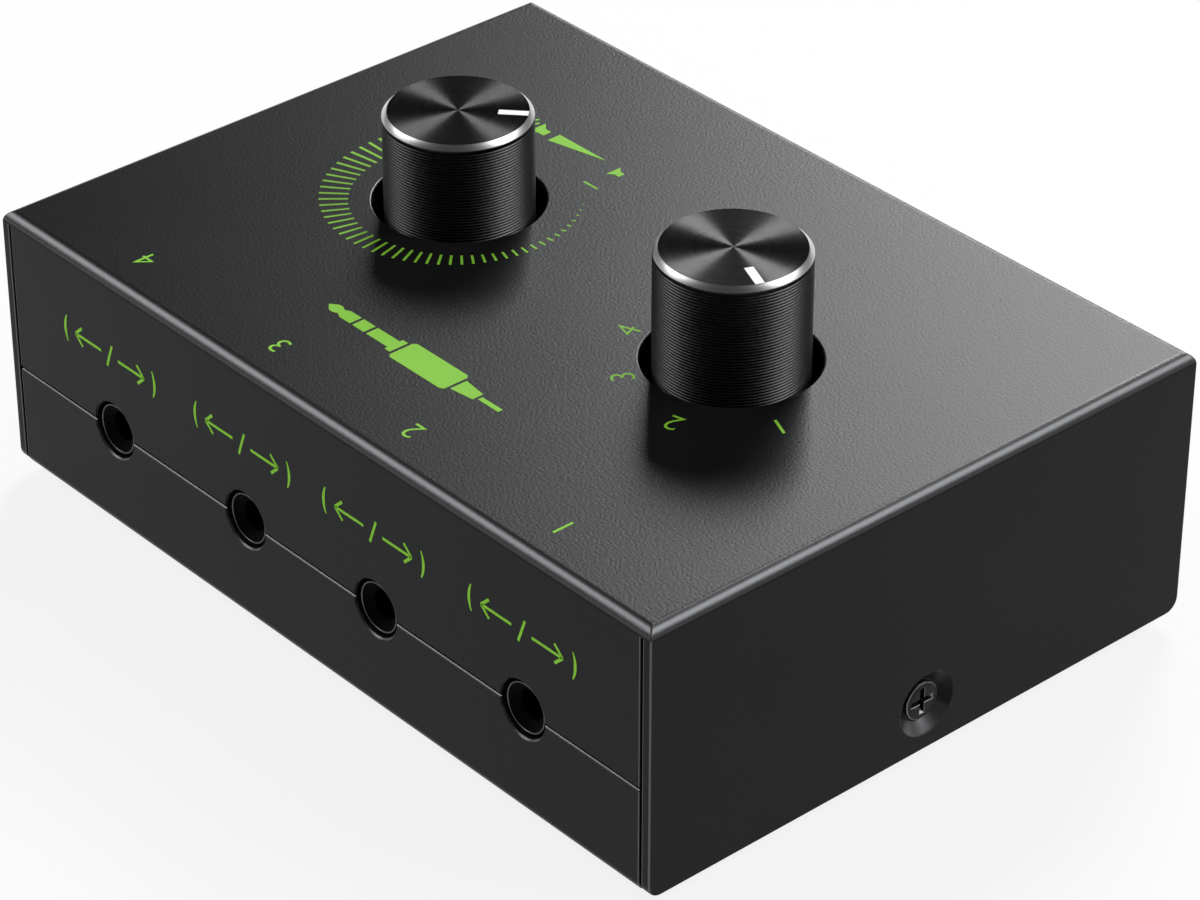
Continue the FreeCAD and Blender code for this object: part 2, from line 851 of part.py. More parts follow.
def switch_shaft():
    journal_top = switch_wheel_low() + detent_wheel_height
    bottom = board_top + switch_floor + running_clearance
    tip = selector_knob_top - knob_top_thickness - insert_bore_end - shaft_tip_gap
    shaft = rod(switch_journal_radius, 0, 0, bottom, journal_top)
    shaft = shaft.fuse(rod(shaft_radius, 0, 0, journal_top, selector_knob_bottom))
    return joined(shaft, [d_rod(0.0, selector_knob_bottom, tip)])


def pointer_bar(top, angle):
    half = pointer_width / 2
    bar = block(pointer_start, pointer_end, -half, half, top - pointer_depth, top)
    return moved(bar, 0, 0, 0, angle)


def knob_shell(top, angle):
    """Turned metal cup, open below, with a bevelled top edge and a slot for its pointer."""
    inner = knob_radius - knob_wall
    bottom = top - knob_height
    ceiling = top - knob_top_thickness
    shell = turned([
        (0, ceiling),
        (inner, ceiling),
        (inner, bottom),
        (knob_radius - edge_break, bottom),
        (knob_radius, bottom + edge_break),
        (knob_radius, top - knob_bevel),
        (knob_radius - knob_bevel, top),
        (0, top),
    ])
    return shell.cut(pointer_bar(top, angle))


def knob_insert(top):
    """Moulded core that grips the shaft: a hub, ribs and a rim pressed into the shell."""
    outer = knob_radius - knob_wall - press_clearance
    high = top - knob_top_thickness
    low = top - knob_height
    hub = rod(insert_hub_radius, 0, 0, low, high)
    rim = tube(outer, outer - insert_rib_width, low, high)
    ribs = []
    for i in range(insert_ribs):
        half = insert_rib_width / 2
        middle = outer - insert_rib_width / 2
        rib = block(insert_hub_radius / 2, middle, -half, half, low, high)
        ribs.append(moved(rib, 0, 0, 0, i * 360 / insert_ribs))
    bore = d_rod(press_clearance, low - BEYOND, high - insert_bore_end)
    return joined(hub, [rim] + ribs).cut(bore)


def save_case():
    save("top_cover", top_cover())
    save("base_tray", base_tray())
    save("side_screws", side_screws())
    save("rubber_feet", rubber_feet())
    save("main_board", main_board())
    save("board_pillars", board_pillars())
    save("board_screws", board_screws())


def save_jacks():
    housing = jack_housing()
    contacts = jack_contacts()
    for node, x, side in jacks:
        save(node + "_housing", jack_place(housing, x, side))
        save(node + "_contacts", jack_place(contacts, x, side))


def save_set(x, shapes):
    for node, shape in shapes:
        save(node, moved(shape, x, knobs_middle_y))


def save_volume():
    save_set(volume_x, (
        ("pot_housing", pot_housing()),
        ("pot_bushing", pot_bushing()),
        ("pot_wafers", pot_wafers()),
        ("pot_leads", pot_leads()),
        ("pot_rotor", pot_rotor()),
        ("pot_wipers", moved(pot_wipers(), 0, 0, 0, volume_pointer_angle)),
        ("pot_shaft", moved(pot_shaft(), 0, 0, 0, volume_pointer_angle)),
        ("volume_knob_shell", knob_shell(volume_knob_top, volume_pointer_angle)),
        ("volume_knob_insert", moved(knob_insert(volume_knob_top), 0, 0, 0, volume_pointer_angle)),
        ("volume_knob_pointer", pointer_bar(volume_knob_top, volume_pointer_angle)),
    ))


def save_selector():
    turn = selector_pointer_angle
    save_set(selector_x, (
        ("switch_base", switch_base()),
        ("switch_contacts", switch_contacts()),
        ("switch_housing", switch_housing()),
        ("switch_bushing", switch_bushing()),
        ("switch_stop_ring", switch_stop_ring()),
        ("switch_detent_spring", detent_spring()),
        ("switch_rotor", switch_rotor()),
        ("switch_bridges", switch_bridges()),
        ("switch_shaft", moved(switch_shaft(), 0, 0, 0, turn)),
        ("selector_knob_shell", knob_shell(selector_knob_top, turn)),
        ("selector_knob_insert", moved(knob_insert(selector_knob_top), 0, 0, 0, turn)),
        ("selector_knob_pointer", pointer_bar(selector_knob_top, turn)),
    ))


os.makedirs("parts", exist_ok=True)
save_case()
save_jacks()
save_volume()
save_selector()
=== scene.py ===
import math

import bmesh
import bpy
from mathutils import Matrix, Vector


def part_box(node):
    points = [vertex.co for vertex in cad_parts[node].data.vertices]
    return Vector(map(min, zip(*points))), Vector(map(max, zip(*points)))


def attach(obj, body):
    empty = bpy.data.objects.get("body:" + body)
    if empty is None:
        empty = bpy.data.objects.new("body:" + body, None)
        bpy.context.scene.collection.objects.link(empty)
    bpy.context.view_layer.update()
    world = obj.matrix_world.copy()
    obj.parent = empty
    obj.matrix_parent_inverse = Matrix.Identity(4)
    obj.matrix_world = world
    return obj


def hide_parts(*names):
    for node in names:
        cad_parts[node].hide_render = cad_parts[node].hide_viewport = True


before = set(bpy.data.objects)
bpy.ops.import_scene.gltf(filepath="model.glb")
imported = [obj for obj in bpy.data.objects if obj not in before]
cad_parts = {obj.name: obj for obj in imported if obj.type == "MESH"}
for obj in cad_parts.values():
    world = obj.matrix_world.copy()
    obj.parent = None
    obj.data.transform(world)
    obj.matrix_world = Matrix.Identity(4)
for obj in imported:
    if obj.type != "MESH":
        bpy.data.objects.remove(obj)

bl_info = {
    "name": "Audio source selector",
    "version": (1, 0, 0),
    "blender": (4, 5, 0),
    "location": "3D View > Sidebar > Selector",
    "description": "Dresses the packed audio source selector: case, knobs, screws, feet, marks and stage",
    "category": "Object",
}

# Everything is modelled in millimetres and brought to the frame's metres at the end.
MM = 0.001
# How far a cutter reaches past the faces that it cuts.
BEYOND = 1.0
# How near to a height an edge counts as lying at it, and from which angle on an edge is creased.
LEVEL_TOLERANCE = 1e-4
CREASE = math.radians(20)
# Steps round turned shapes and round the large holes.
ROUND_STEPS = 72
KNOB_HOLE_STEPS = 128

# Folded sheet of the case. Walls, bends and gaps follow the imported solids.
SHEET = 1.2
BEND_OUTSIDE = 1.4
BEND_INSIDE = 0.2
WALL_CORNER = 1.7
SEAM_GAP = 0.3
RIM_ROUNDING = 0.34

# Screw seats pressed into the side walls, measured inwards from the wall's face.
DIMPLE_MOUTH = 3.85
DIMPLE_LIP = 0.16
DIMPLE_WALL = 1.1
MOAT_DEPTH = 0.4
MOAT_WIDTH = 0.25
SEAT_RADIUS = 2.32
SEAT_HOLE = 1.35
HEAD_DEPTH = 0.65
SEAT_START = 0.80
SEAT_END = 1.77
DIMPLE_DEPTH = 2.62

# Countersunk screws with a cross recess.
SCREW_HEIGHT = 7.4
SCREW_HEAD = 2.3
SCREW_RIM = 0.14
SCREW_SHANK = 1.25
SCREW_LENGTH = 7.0
SCREW_END_BREAK = 0.3
CROSS_LENGTH = 3.3
CROSS_WIDTH = 0.75
CROSS_DEPTH = 1.1
CROSS_TIP = 0.75
CROSS_EDGE = 0.05
CROSS_TAPER = 0.04

# Openings of the case and what stands in them or under it.
PANEL_HOLE = 3.45
PANEL_HOLE_BEVEL = 0.18
LIP_RADIUS = 2.93
LIP_TUBE = 0.11
LIP_SIDES = 12
KNOB_HOLE = 10.0
PILLAR_SPIGOT = 2.21
PILLAR_ACROSS_FLATS = 5.5
PILLAR_ACROSS_CORNERS = 6.35
TAB_HALF_WIDTH = 8.0
TAB_RELIEF = 1.0
TAB_HEIGHT = 9.5
TAB_FACE = 52.33
COLLAR_WALL = 1.0
COLLAR_LENGTH = 1.5
FOOT_RADIUS = 5.0

# Bends, for the paint, in degrees of rise. A face is flat where one part of its normal is past FLAT.
FLAT = 0.9975
SAME_BEND = math.radians(30)
BEND_TOP = 83
BEND_TOP_FADE = 24
BEND_FOOT = 14
BEND_FOOT_FADE = 20
CORNER_REACH = (2.0, 0.3)
CORNER_WEIGHT = 0.6

# Knobs.
KNOB_BEVEL = 0.6
KNOB_WALL = 1.3
KNOB_TOP = 2.2
GRIP_START = 0.25
GRIP_END = 0.3
LAND_SHARE = 0.42
POINTER_START = 4.55
POINTER_END = 8.0
POINTER_WIDTH = 1.05
POINTER_RISE = 0.04
POINTER_EDGE = 0.03
FACE_LEAN = 39.0
FACE_PITCH = 0.00004
GROOVE, FACE, BEVEL, LAND = range(4)

# Volume scale: its sweep in degrees, and its ticks' sizes at the quiet and at the loud end.
SCALE_SWEEP = 264.5
TICK_OUTER = (14.1, 17.5)
TICK_INNER = (14.05, 12.65)
TICK_INNER_END = 0.43
TICK_WIDTH = (0.26, 0.40)
TICK_SHORTEST = 0.12

# Places and sizes of the other marks.
SIGN_X = 7.6
SIGN_Y = 14.3
SIGN_HALF = 1.15
SIGN_GAP = 0.15
SIGN_STROKE = 0.3
VOLUME_SIGN_Y = 18.45
PLUG_SIGN_AT = (-0.1, -24.4)
SOCKET_SIGNS_Z = 24.8
INPUT_NUMBERS_Y = -33.84
NUMERAL_HEIGHT = 2.7
NUMERAL_OFFSET = -0.008
STOP_ANGLE = 45
# How far out from the selector knob's axis each stop's number stands, and its lean in degrees.
STOP_NUMBERS = ((14.6, 0), (14.6, -8), (12.4, -8), (12.4, 0))

# Paint of the case, in metres where it is a size.
PATCH_SIZE = 0.018
PAINT_GLOSS = 0.08
BEND_DULLS = 0.09
WRINKLE_DULLS = 0.005
WRINKLE_HEIGHT = 0.00004
WRINKLE_STRENGTH = 0.27
BEND_COAT_ROUGHNESS = 0.40
# Noise values lie mostly between these two.
NOISE_LOW = 0.3
NOISE_HIGH = 0.7

# Stage in metres. Each lamp has its azimuth, elevation and spread in degrees.
FLOOR_HALF = 6.0
LAMPS = (("right_light", 46, 42, 37), ("left_light", 212, 40, 37), ("back_light", 124, 32, 23))
CAMERA_PLACE = (0.32955113, -0.28797205, 0.29692594)
CAMERA_RIGHT = Vector((0.66051078, 0.75081609, 0.00084777))
CAMERA_UP = Vector((-0.40949163, 0.35929266, 0.83858535))
CAMERA_LENS = 138.69
CAMERA_SENSOR = 36.0


def low_high(node):
    """Lowest and highest corners of a CAD node in millimetres."""
    low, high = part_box(node)
    return low / MM, high / MM


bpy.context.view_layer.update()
COVER_LOW, COVER_HIGH = low_high("top_cover")
TRAY_LOW, TRAY_HIGH = low_high("base_tray")
HALF_X = COVER_HIGH.x
HALF_Y = COVER_HIGH.y
INNER_X = HALF_X - SHEET
INNER_Y = HALF_Y - SHEET
SEAM = TRAY_HIGH.z + SEAM_GAP / 2


def middle(node):
    low, high = low_high(node)
    return (low + high) / 2


PILLARS_HIGH = low_high("board_pillars")[1]
SPIGOT_X = PILLARS_HIGH.x - PILLAR_ACROSS_CORNERS / 2
SPIGOT_Y = PILLARS_HIGH.y - PILLAR_ACROSS_FLATS / 2
KNOBS = {
    "volume_knob": (middle("volume_knob_insert"), low_high("volume_knob_shell")),
    "selector_knob": (middle("selector_knob_insert"), low_high("selector_knob_shell")),
}
POINTER_ANGLES = {"volume_knob": 42.5, "selector_knob": -22.5}
FRONT_JACKS = [middle(f"jack_{n}_housing").x for n in (1, 2, 3, 4)]
REAR_JACK = middle("common_jack_housing").x


class CaseSettings(bpy.types.PropertyGroup):
    paint_colour: bpy.props.FloatVectorProperty(
        name="Paint colour", description="Colour of the powder coat",
        subtype="COLOR", size=3, min=0.0, max=1.0, default=(0.0085, 0.0087, 0.0093))
    paint_roughness: bpy.props.FloatProperty(
        name="Paint roughness", description="How dull the powder coat is",
        subtype="FACTOR", min=0.0, max=1.0, default=0.30)
    grain_size: bpy.props.FloatProperty(
        name="Grain size", description="Width of one wrinkle of the powder coat",
        unit="LENGTH", min=0.0001, max=0.005, default=0.00033)
    edge_break: bpy.props.FloatProperty(
        name="Edge break", description="Width of the rounding on the cut edges of the sheet",
        unit="LENGTH", min=0.00002, max=0.0005, default=0.00016)


class KnobSettings(bpy.types.PropertyGroup):
    groove_pitch: bpy.props.FloatProperty(
        name="Groove pitch", description="Distance between the grip grooves round a knob",
        unit="LENGTH", min=0.0002, max=0.002, default=0.00037)
    groove_depth: bpy.props.FloatProperty(
        name="Groove depth", description="Depth of the grip grooves",
        unit="LENGTH", min=0.0, max=0.0005, default=0.00017)
    steps: bpy.props.IntProperty(
        name="Steps", description="Flats round a turned knob", min=32, max=256, default=144)
    volume_face: bpy.props.FloatVectorProperty(
        name="Volume knob face", description="Colour of the volume knob's spun metal face",
        subtype="COLOR", size=3, min=0.0, max=1.0, default=(0.088, 0.088, 0.090))
    # The selector face is a lighter copy of the volume face's spun metal: painted light, for the brighter
    # light that falls on that knob.
    selector_face: bpy.props.FloatVectorProperty(
        name="Selector knob face", description="Colour of the selector knob's spun metal face",
        subtype="COLOR", size=3, min=0.0, max=1.0, default=(0.128, 0.128, 0.131))


class MarkSettings(bpy.types.PropertyGroup):
    ink_colour: bpy.props.FloatVectorProperty(
        name="Ink colour", description="Colour of the printed marks",
        subtype="COLOR", size=3, min=0.0, max=1.0, default=(0.225, 0.55, 0.040))
    ink_thickness: bpy.props.FloatProperty(
        name="Ink thickness", description="How far the print stands up from the paint",
        unit="LENGTH", min=0.000005, max=0.0001, default=0.00002)
    ticks: bpy.props.IntProperty(
        name="Ticks", description="Number of ticks on the volume scale", min=2, max=120, default=53)


class StageSettings(bpy.types.PropertyGroup):
    floor_colour: bpy.props.FloatVectorProperty(
        name="Floor colour", description="Colour of the floor",
        subtype="COLOR", size=3, min=0.0, max=1.0, default=(0.90, 0.90, 0.90))
    right_light: bpy.props.FloatProperty(
        name="Right light", description="Strength of the soft light right of the case", min=0.0, default=1.5)
    left_light: bpy.props.FloatProperty(
        name="Left light", description="Strength of the soft light left of the case", min=0.0, default=1.15)
    back_light: bpy.props.FloatProperty(
        name="Back light", description="Strength of the soft light behind the case", min=0.0, default=2.6)
    room_light: bpy.props.FloatProperty(
        name="Room light", description="Strength of the even light from the room", min=0.0, default=0.03)
    floor_glow: bpy.props.FloatProperty(
        name="Floor glow", description="How far the floor's picture goes over to plain white",
        subtype="FACTOR", min=0.0, max=1.0, default=0.85)


def block(low, high):
    bm = bmesh.new()
    bmesh.ops.create_cube(bm, size=1.0)
    low, high = Vector(low), Vector(high)
    bmesh.ops.scale(bm, vec=high - low, verts=bm.verts)
    bmesh.ops.translate(bm, vec=(low + high) / 2, verts=bm.verts)
    return bm


def rounded(bm, chosen, radius, segments):
    """Rounds the edges that pass the test."""
    edges = [edge for edge in bm.edges if chosen(edge)]
    bmesh.ops.bevel(
        bm, geom=edges, offset=radius, offset_type="OFFSET", segments=segments, profile=0.5,
        affect="EDGES", clamp_overlap=False, material=-1)
    return bm


def level(z):
    """Test for edges that lie at one height."""
    return lambda edge: all(abs(v.co.z - z) < LEVEL_TOLERANCE for v in edge.verts)


def level_along_x(z):
    """Test for edges that lie at one height and run along X."""
    def test(edge):
        a, b = (v.co for v in edge.verts)
        return level(z)(edge) and abs(a.x - b.x) > 1e-3
    return test


def creased(edge):
    return len(edge.link_faces) == 2 and edge.calc_face_angle() > CREASE


def turned(profile, steps, ring=False):
    """Shape turned about +Z from (radius, height) points: a line from axis to axis, or a closed ring."""
    bm = bmesh.new()
    points = [bm.verts.new((r, 0, z)) for r, z in profile]
    pairs = zip(points[-1:] + points, points) if ring else zip(points, points[1:])
    line = [bm.edges.new(pair) for pair in pairs]
    bmesh.ops.spin(
        bm, geom=points + line, cent=(0, 0, 0), axis=(0, 0, 1), angle=math.tau, steps=steps,
        use_merge=True, use_duplicate=False)
    return closed(bm)


def closed(bm):
    """Merges doubles and points every face outwards."""
    bmesh.ops.remove_doubles(bm, verts=bm.verts, dist=1e-5)
    bmesh.ops.dissolve_degenerate(bm, edges=bm.edges, dist=1e-6)
    bmesh.ops.recalc_face_normals(bm, faces=bm.faces)
    return bm


def rectangle(x0, x1, half_width, z):
    """Corner points of a level rectangle."""
    return [(x0, -half_width, z), (x1, -half_width, z), (x1, half_width, z), (x0, half_width, z)]


def lofted(rings):
    """Closed shape through rings of points that match one to one."""
    bm = bmesh.new()
    face = bm.faces.new([bm.verts.new(p) for p in rings[0]])
    for before, ring in zip(rings, rings[1:]):
        grown = bmesh.ops.extrude_face_region(bm, geom=[face], use_keep_orig=True)["geom"]
        for vert in [g for g in grown if isinstance(g, bmesh.types.BMVert)]:
            nearest = min(range(len(before)), key=lambda k: (Vector(before[k]) - vert.co).length)
            vert.co = ring[nearest]
        if before is not rings[0]:
            bmesh.ops.delete(bm, geom=[face], context="FACES_ONLY")
        face = [g for g in grown if isinstance(g, bmesh.types.BMFace)][0]
    bmesh.ops.recalc_face_normals(bm, faces=bm.faces)
    return bm


def shift(x, y, z=0.0):
    return Matrix.Translation((x, y, z))


def rotation(degrees, axis="Z"):
    return Matrix.Rotation(math.radians(degrees), 4, axis)


def moved(bm, matrix):
    bmesh.ops.transform(bm, matrix=matrix, verts=bm.verts)
    return bm


def meshed(name, bm):
    mesh = bpy.data.meshes.new(name)
    bm.to_mesh(mesh)
    bm.free()
    return mesh


def placed(name, data):
    obj = bpy.data.objects.new(name, data)
    bpy.context.scene.collection.objects.link(obj)
    return obj


def evaluated(obj):
    """Mesh of an object with its modifiers or its text worked out."""
    graph = bpy.context.evaluated_depsgraph_get()
    mesh = bpy.data.meshes.new_from_object(obj.evaluated_get(graph))
    bm = bmesh.new()
    bm.from_mesh(mesh)
    bpy.data.meshes.remove(mesh)
    return bm


def combined(bm, other, operation):
    """One closed shape added to or cut from another."""
    base, tool = placed("base", meshed("base", bm)), placed("tool", meshed("tool", other))
    boolean = base.modifiers.new("combine", "BOOLEAN")
    boolean.object = tool
    boolean.operation = operation
    boolean.solver = "EXACT"
    result = evaluated(base)
    for obj in (base, tool):
        mesh = obj.data
        bpy.data.objects.remove(obj)
        bpy.data.meshes.remove(mesh)
    if not result.faces:
        raise ValueError("a Boolean left nothing")
    return result


def gathered(shapes):
    """Several separate shapes in one mesh."""
    bm = bmesh.new()
    for shape in shapes:
        mesh = meshed("part", shape)
        bm.from_mesh(mesh)
        bpy.data.meshes.remove(mesh)
    return bm


def cut(bm, *tools):
    """Cuts out shapes that don't touch each other."""
    return combined(bm, gathered(tools), "DIFFERENCE")


def joined(bm, *others):
    """Adds shapes that don't touch each other."""
    return combined(bm, gathered(others), "UNION")


def piece(name, bm, materials, body, nodes=(), sharp=30.0, paint=None):
    """Object at the origin with its place in its mesh, smooth between its sharp edges."""
    bmesh.ops.scale(bm, vec=(MM, MM, MM), verts=bm.verts)
    for edge in bm.edges:
        edge.smooth = len(edge.link_faces) == 2 and edge.calc_face_angle() < math.radians(sharp)
    for face in bm.faces:
        face.smooth = True
        if paint:
            face.material_index = paint(face)
    obj = placed(name, meshed(name, bm))
    for material in materials:
        obj.data.materials.append(material)
    weighted = obj.modifiers.new("flat faces stay flat", "WEIGHTED_NORMAL")
    weighted.keep_sharp = True
    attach(obj, body)
    if nodes:
        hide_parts(*nodes)
    return obj


class Finish:
    """Node material built round one shader, in the object's own coordinates."""

    def __init__(self, name, colour, metallic=0.0, specular=0.5, roughness=0.5):
        self.material = bpy.data.materials.new(name)
        self.material.use_nodes = True
        self.tree = self.material.node_tree
        self.shader = self.tree.nodes["Principled BSDF"]
        self.colour = colour
        self.set("Base Color", (*colour, 1.0))
        self.set("Roughness", roughness)
        self.set("Metallic", metallic)
        self.set("Specular IOR Level", specular)
        self.place = self.tree.nodes.new("ShaderNodeTexCoord").outputs["Object"]
        self.bump = None

    def set(self, socket, value):
        self.shader.inputs[socket].default_value = value

    def link(self, value, socket):
        self.tree.links.new(value, self.shader.inputs[socket])

    def node(self, kind, inputs=None, **settings):
        """Adds a node. Its inputs take sockets, which are linked, or plain values."""
        made = self.tree.nodes.new(kind)
        for name, value in settings.items():
            setattr(made, name, value)
        for name, value in (inputs or {}).items():
            if isinstance(value, bpy.types.NodeSocket):
                self.tree.links.new(value, made.inputs[name])
            else:
                made.inputs[name].default_value = value
        return made

    def maths(self, operation, *inputs, **settings):
        made = self.node("ShaderNodeMath", dict(enumerate(inputs)), operation=operation, **settings)
        return made.outputs[0]

    def vector(self, operation, *inputs, output="Vector", **named):
        made = self.node("ShaderNodeVectorMath", dict(enumerate(inputs)) | named, operation=operation)
        return made.outputs[output]

    def stretched(self, centre=(0, 0, 0), stretch=(1, 1, 1)):
        """Object coordinates about a centre, stretched."""
        inputs = {"Vector": self.place, "Location": centre, "Scale": stretch}
        return self.node("ShaderNodeMapping", inputs, vector_type="TEXTURE").outputs["Vector"]

    def noise(self, size, detail=2.0, rough=0.5, place=None):
        """Noise whose cells are about one size across, in metres."""
        inputs = {"Vector": place or self.place, "Scale": 1.0 / size, "Detail": detail, "Roughness": rough}
        return self.node("ShaderNodeTexNoise", inputs).outputs["Fac"]

    def cell_edges(self, size):
        """Distance from the edges of cells that are about one size across, in metres."""
        inputs = {"Vector": self.place, "Scale": 1.0 / size}
        return self.node("ShaderNodeTexVoronoi", inputs, feature="DISTANCE_TO_EDGE").outputs["Distance"]

    def ranged(self, value, low, high, start=NOISE_LOW, end=NOISE_HIGH):
        """A value between start and end, brought to low and high."""
        inputs = {"Value": value, "From Min": start, "From Max": end, "To Min": low, "To Max": high}
        return self.node("ShaderNodeMapRange", inputs).outputs["Result"]

    def ramped(self, value, *stops):
        """Base colour that goes over two (position, colour) stops with a value."""
        ramp = self.node("ShaderNodeValToRGB", {"Fac": value})
        for element, (position, colour) in zip(ramp.color_ramp.elements, stops):
            element.position = position
            element.color = (*colour, 1.0)
        self.link(ramp.outputs["Color"], "Base Color")
        return self

    def mottled(self, value, darker, lighter):
        """Base colour that goes from darker to lighter with a value."""
        shades = [[min(1.0, part * factor) for part in self.colour] for factor in (darker, lighter)]
        return self.ramped(value, (NOISE_LOW, shades[0]), (NOISE_HIGH, shades[1]))

    def dulled(self, value, low, high):
        """Roughness that goes from low to high with a value."""
        self.link(self.ranged(value, low, high), "Roughness")
        return self

    def bumped(self, value, height, strength=1.0):
        """Adds relief of a height in metres on what is there already."""
        inputs = {"Height": value, "Distance": height, "Strength": strength}
        if self.bump:
            inputs["Normal"] = self.bump
        self.bump = self.node("ShaderNodeBump", inputs).outputs["Normal"]
        self.link(self.bump, "Normal")
        return self

    def spun(self, amount):
        """Spreads highlights across turning marks that run round the object's own +Z axis."""
        tangent = self.node("ShaderNodeTangent", direction_type="RADIAL", axis="Z")
        self.set("Anisotropic", amount)
        self.set("Anisotropic Rotation", 0.25)
        self.link(tangent.outputs["Tangent"], "Tangent")
        return self


def case_paint():
    """Powder coat, black with a fine wrinkle, glossier where it lies thin over bends and edges."""
    settings = bpy.context.scene.selector_case
    finish = Finish("case_paint", settings.paint_colour)
    wrinkle = finish.noise(settings.grain_size, detail=0.0)
    finish.mottled(finish.noise(PATCH_SIZE, detail=3.0), 0.90, 1.12)
    bend = finish.node("ShaderNodeAttribute", attribute_name="bend").outputs["Fac"]
    finish.link(finish.ranged(bend, PAINT_GLOSS, 1.0, 0.0, 1.0), "Specular IOR Level")
    dull = settings.paint_roughness
    spread = finish.ranged(bend, 0.0, BEND_DULLS, 0.0, 1.0)
    roughness = finish.ranged(wrinkle, dull - WRINKLE_DULLS, dull + WRINKLE_DULLS)
    finish.link(finish.maths("ADD", spread, roughness), "Roughness")
    finish.set("Specular Tint", (0.92, 0.945, 1.0, 1.0))
    finish.link(bend, "Coat Weight")
    finish.set("Coat Roughness", BEND_COAT_ROUGHNESS)
    return finish.bumped(wrinkle, WRINKLE_HEIGHT, WRINKLE_STRENGTH).material


def grained(name, colour, grain, mottle, dull=None, bump=None, detail=2.0, rough=0.5, **surface):
    """Finish whose one fine grain shifts its colour and, where given, its roughness and its height."""
    finish = Finish(name, colour, **surface)
    value = finish.noise(grain, detail=detail, rough=rough)
    finish.mottled(value, *mottle)
    if dull:
        finish.dulled(value, *dull)
    if bump:
        finish.bumped(value, *bump)
    return finish.material


def knob_side(name, colour):
    return grained(name, colour, 0.0005, (0.8, 1.2), (0.35, 0.42), (0.00001, 0.2), detail=3.0, metallic=1.0)


def about_axis(finish, centre):
    """Direction away from a knob's axis, and the distance from it as a position along one line."""
    flat = finish.vector("MULTIPLY", finish.stretched(centre=centre), (1, 1, 0))
    distance = finish.vector("LENGTH", flat, output="Value")
    line = finish.node("ShaderNodeCombineXYZ", {"X": distance}).outputs["Vector"]
    return finish.vector("NORMALIZE", flat), line


def spun_face(name, centre, colour):
    """Spun metal, whose turning marks lean by turns outwards and inwards, too fine to be seen singly."""
    finish = Finish(name, colour, metallic=1.0)
    finish.set("Specular Tint", (0.0, 0.0, 0.0, 1.0))
    away, line = about_axis(finish, centre)
    rings = finish.noise(0.0004, detail=4.0, rough=0.7, place=line)
    finish.mottled(rings, 0.92, 1.06).dulled(rings, 0.26, 0.31)
    within = finish.vector("FRACTION", finish.vector("SCALE", line, Scale=1 / FACE_PITCH))
    along = finish.node("ShaderNodeSeparateXYZ", {"Vector": within}).outputs["X"]
    inner = finish.maths("GREATER_THAN", along)
    lean = math.tan(math.radians(FACE_LEAN))
    leant = finish.vector("SCALE", away, Scale=finish.ranged(inner, -lean, lean, 0.0, 1.0))
    upright = finish.vector("ADD", leant, (0, 0, 1))
    world = finish.node("ShaderNodeVectorTransform", {"Vector": upright},
                        vector_type="NORMAL", convert_from="OBJECT", convert_to="WORLD")
    finish.link(world.outputs["Vector"], "Normal")
    return finish.material


def cut_edge(name, centre):
    """Bright bevel of a knob, cut through the black."""
    finish = Finish(name, (0.76, 0.76, 0.77), metallic=1.0)
    rings = finish.noise(0.00008, detail=2.0, place=about_axis(finish, centre)[1])
    finish.mottled(rings, 0.88, 1.06).dulled(rings, 0.30, 0.38)
    return finish.spun(0.2).material


def pointer_white():
    return grained("pointer_white", (0.86, 0.86, 0.85), 0.0003, (0.96, 1.02),
                   bump=(0.000006, 0.3), roughness=0.42)


def print_green(name, factor):
    colour = [part * factor for part in bpy.context.scene.selector_marks.ink_colour]
    return grained(name, colour, 0.00025, (0.94, 1.05), (0.44, 0.58), (0.000005, 0.3), specular=0.1)


def screw_black():
    return grained("screw_black", (0.012, 0.012, 0.013), 0.0004, (0.7, 1.4), (0.34, 0.48), (0.00001, 0.35),
                   detail=3.0, specular=0.12)


def screw_worn():
    """Lighter steel finish on the screw's rounded rim and on the sloped faces of its cross, chosen by each
    face's slope.
    """
    return grained("screw_worn", (0.16, 0.16, 0.165), 0.0002, (0.7, 1.3), (0.30, 0.44),
                   detail=3.0, metallic=1.0)


def jack_lip():
    return grained("jack_lip", (0.10, 0.10, 0.105), 0.0003, (0.9, 1.1), (0.38, 0.46), metallic=1.0)


def foot_rubber():
    return grained("foot_rubber", (0.018, 0.018, 0.018), 0.0006, (0.8, 1.3), (0.68, 0.86), (0.00003, 0.5),
                   detail=4.0, rough=0.65, specular=0.3)


def facing_in(bm, side):
    """Turns a shape built along +Z so that it points inwards from a side wall's face."""
    return moved(bm, shift(side * HALF_X, 0, SCREW_HEIGHT) @ rotation(-90 * side, "Y"))


def facing_out(bm, x, side, depth):
    """Turns a shape built along +Z so that it points out of the front or rear wall, at the seam."""
    return moved(bm, shift(x, side * depth, SEAM) @ rotation(-90 * side, "X"))


def flared_hole(radius, depth, flare, steps):
    """Cutter for a hole whose mouth at height 0 is rounded, going down to -depth."""
    mouth = [
        (radius + flare * (1 - math.cos(a)), -flare * (1 - math.sin(a)))
        for a in (0, math.pi / 6, math.pi / 3, math.pi / 2 - 0.12)
    ]
    outline = [(0, -depth), (radius, -depth)] + mouth
    outline += [(radius + flare + 0.02, 0.02), (radius + flare + 0.02, BEYOND), (0, BEYOND)]
    return turned(outline, steps)


def knob_hole(x, y, edge):
    hole = flared_hole(KNOB_HOLE, SHEET + BEYOND, edge * 1.3, KNOB_HOLE_STEPS)
    return moved(hole, shift(x, y, COVER_HIGH.z))


def panel_hole(x, side):
    """Round hole for a jack's nose, across the seam, with a bevelled outer edge."""
    wide = PANEL_HOLE + PANEL_HOLE_BEVEL
    hole = turned([
        (0, -SHEET - BEYOND), (PANEL_HOLE, -SHEET - BEYOND), (PANEL_HOLE, -PANEL_HOLE_BEVEL),
        (wide, 0), (wide + BEYOND / 10, BEYOND / 10), (wide + BEYOND / 10, BEYOND), (0, BEYOND)],
        ROUND_STEPS)
    return facing_out(hole, x, side, HALF_Y)


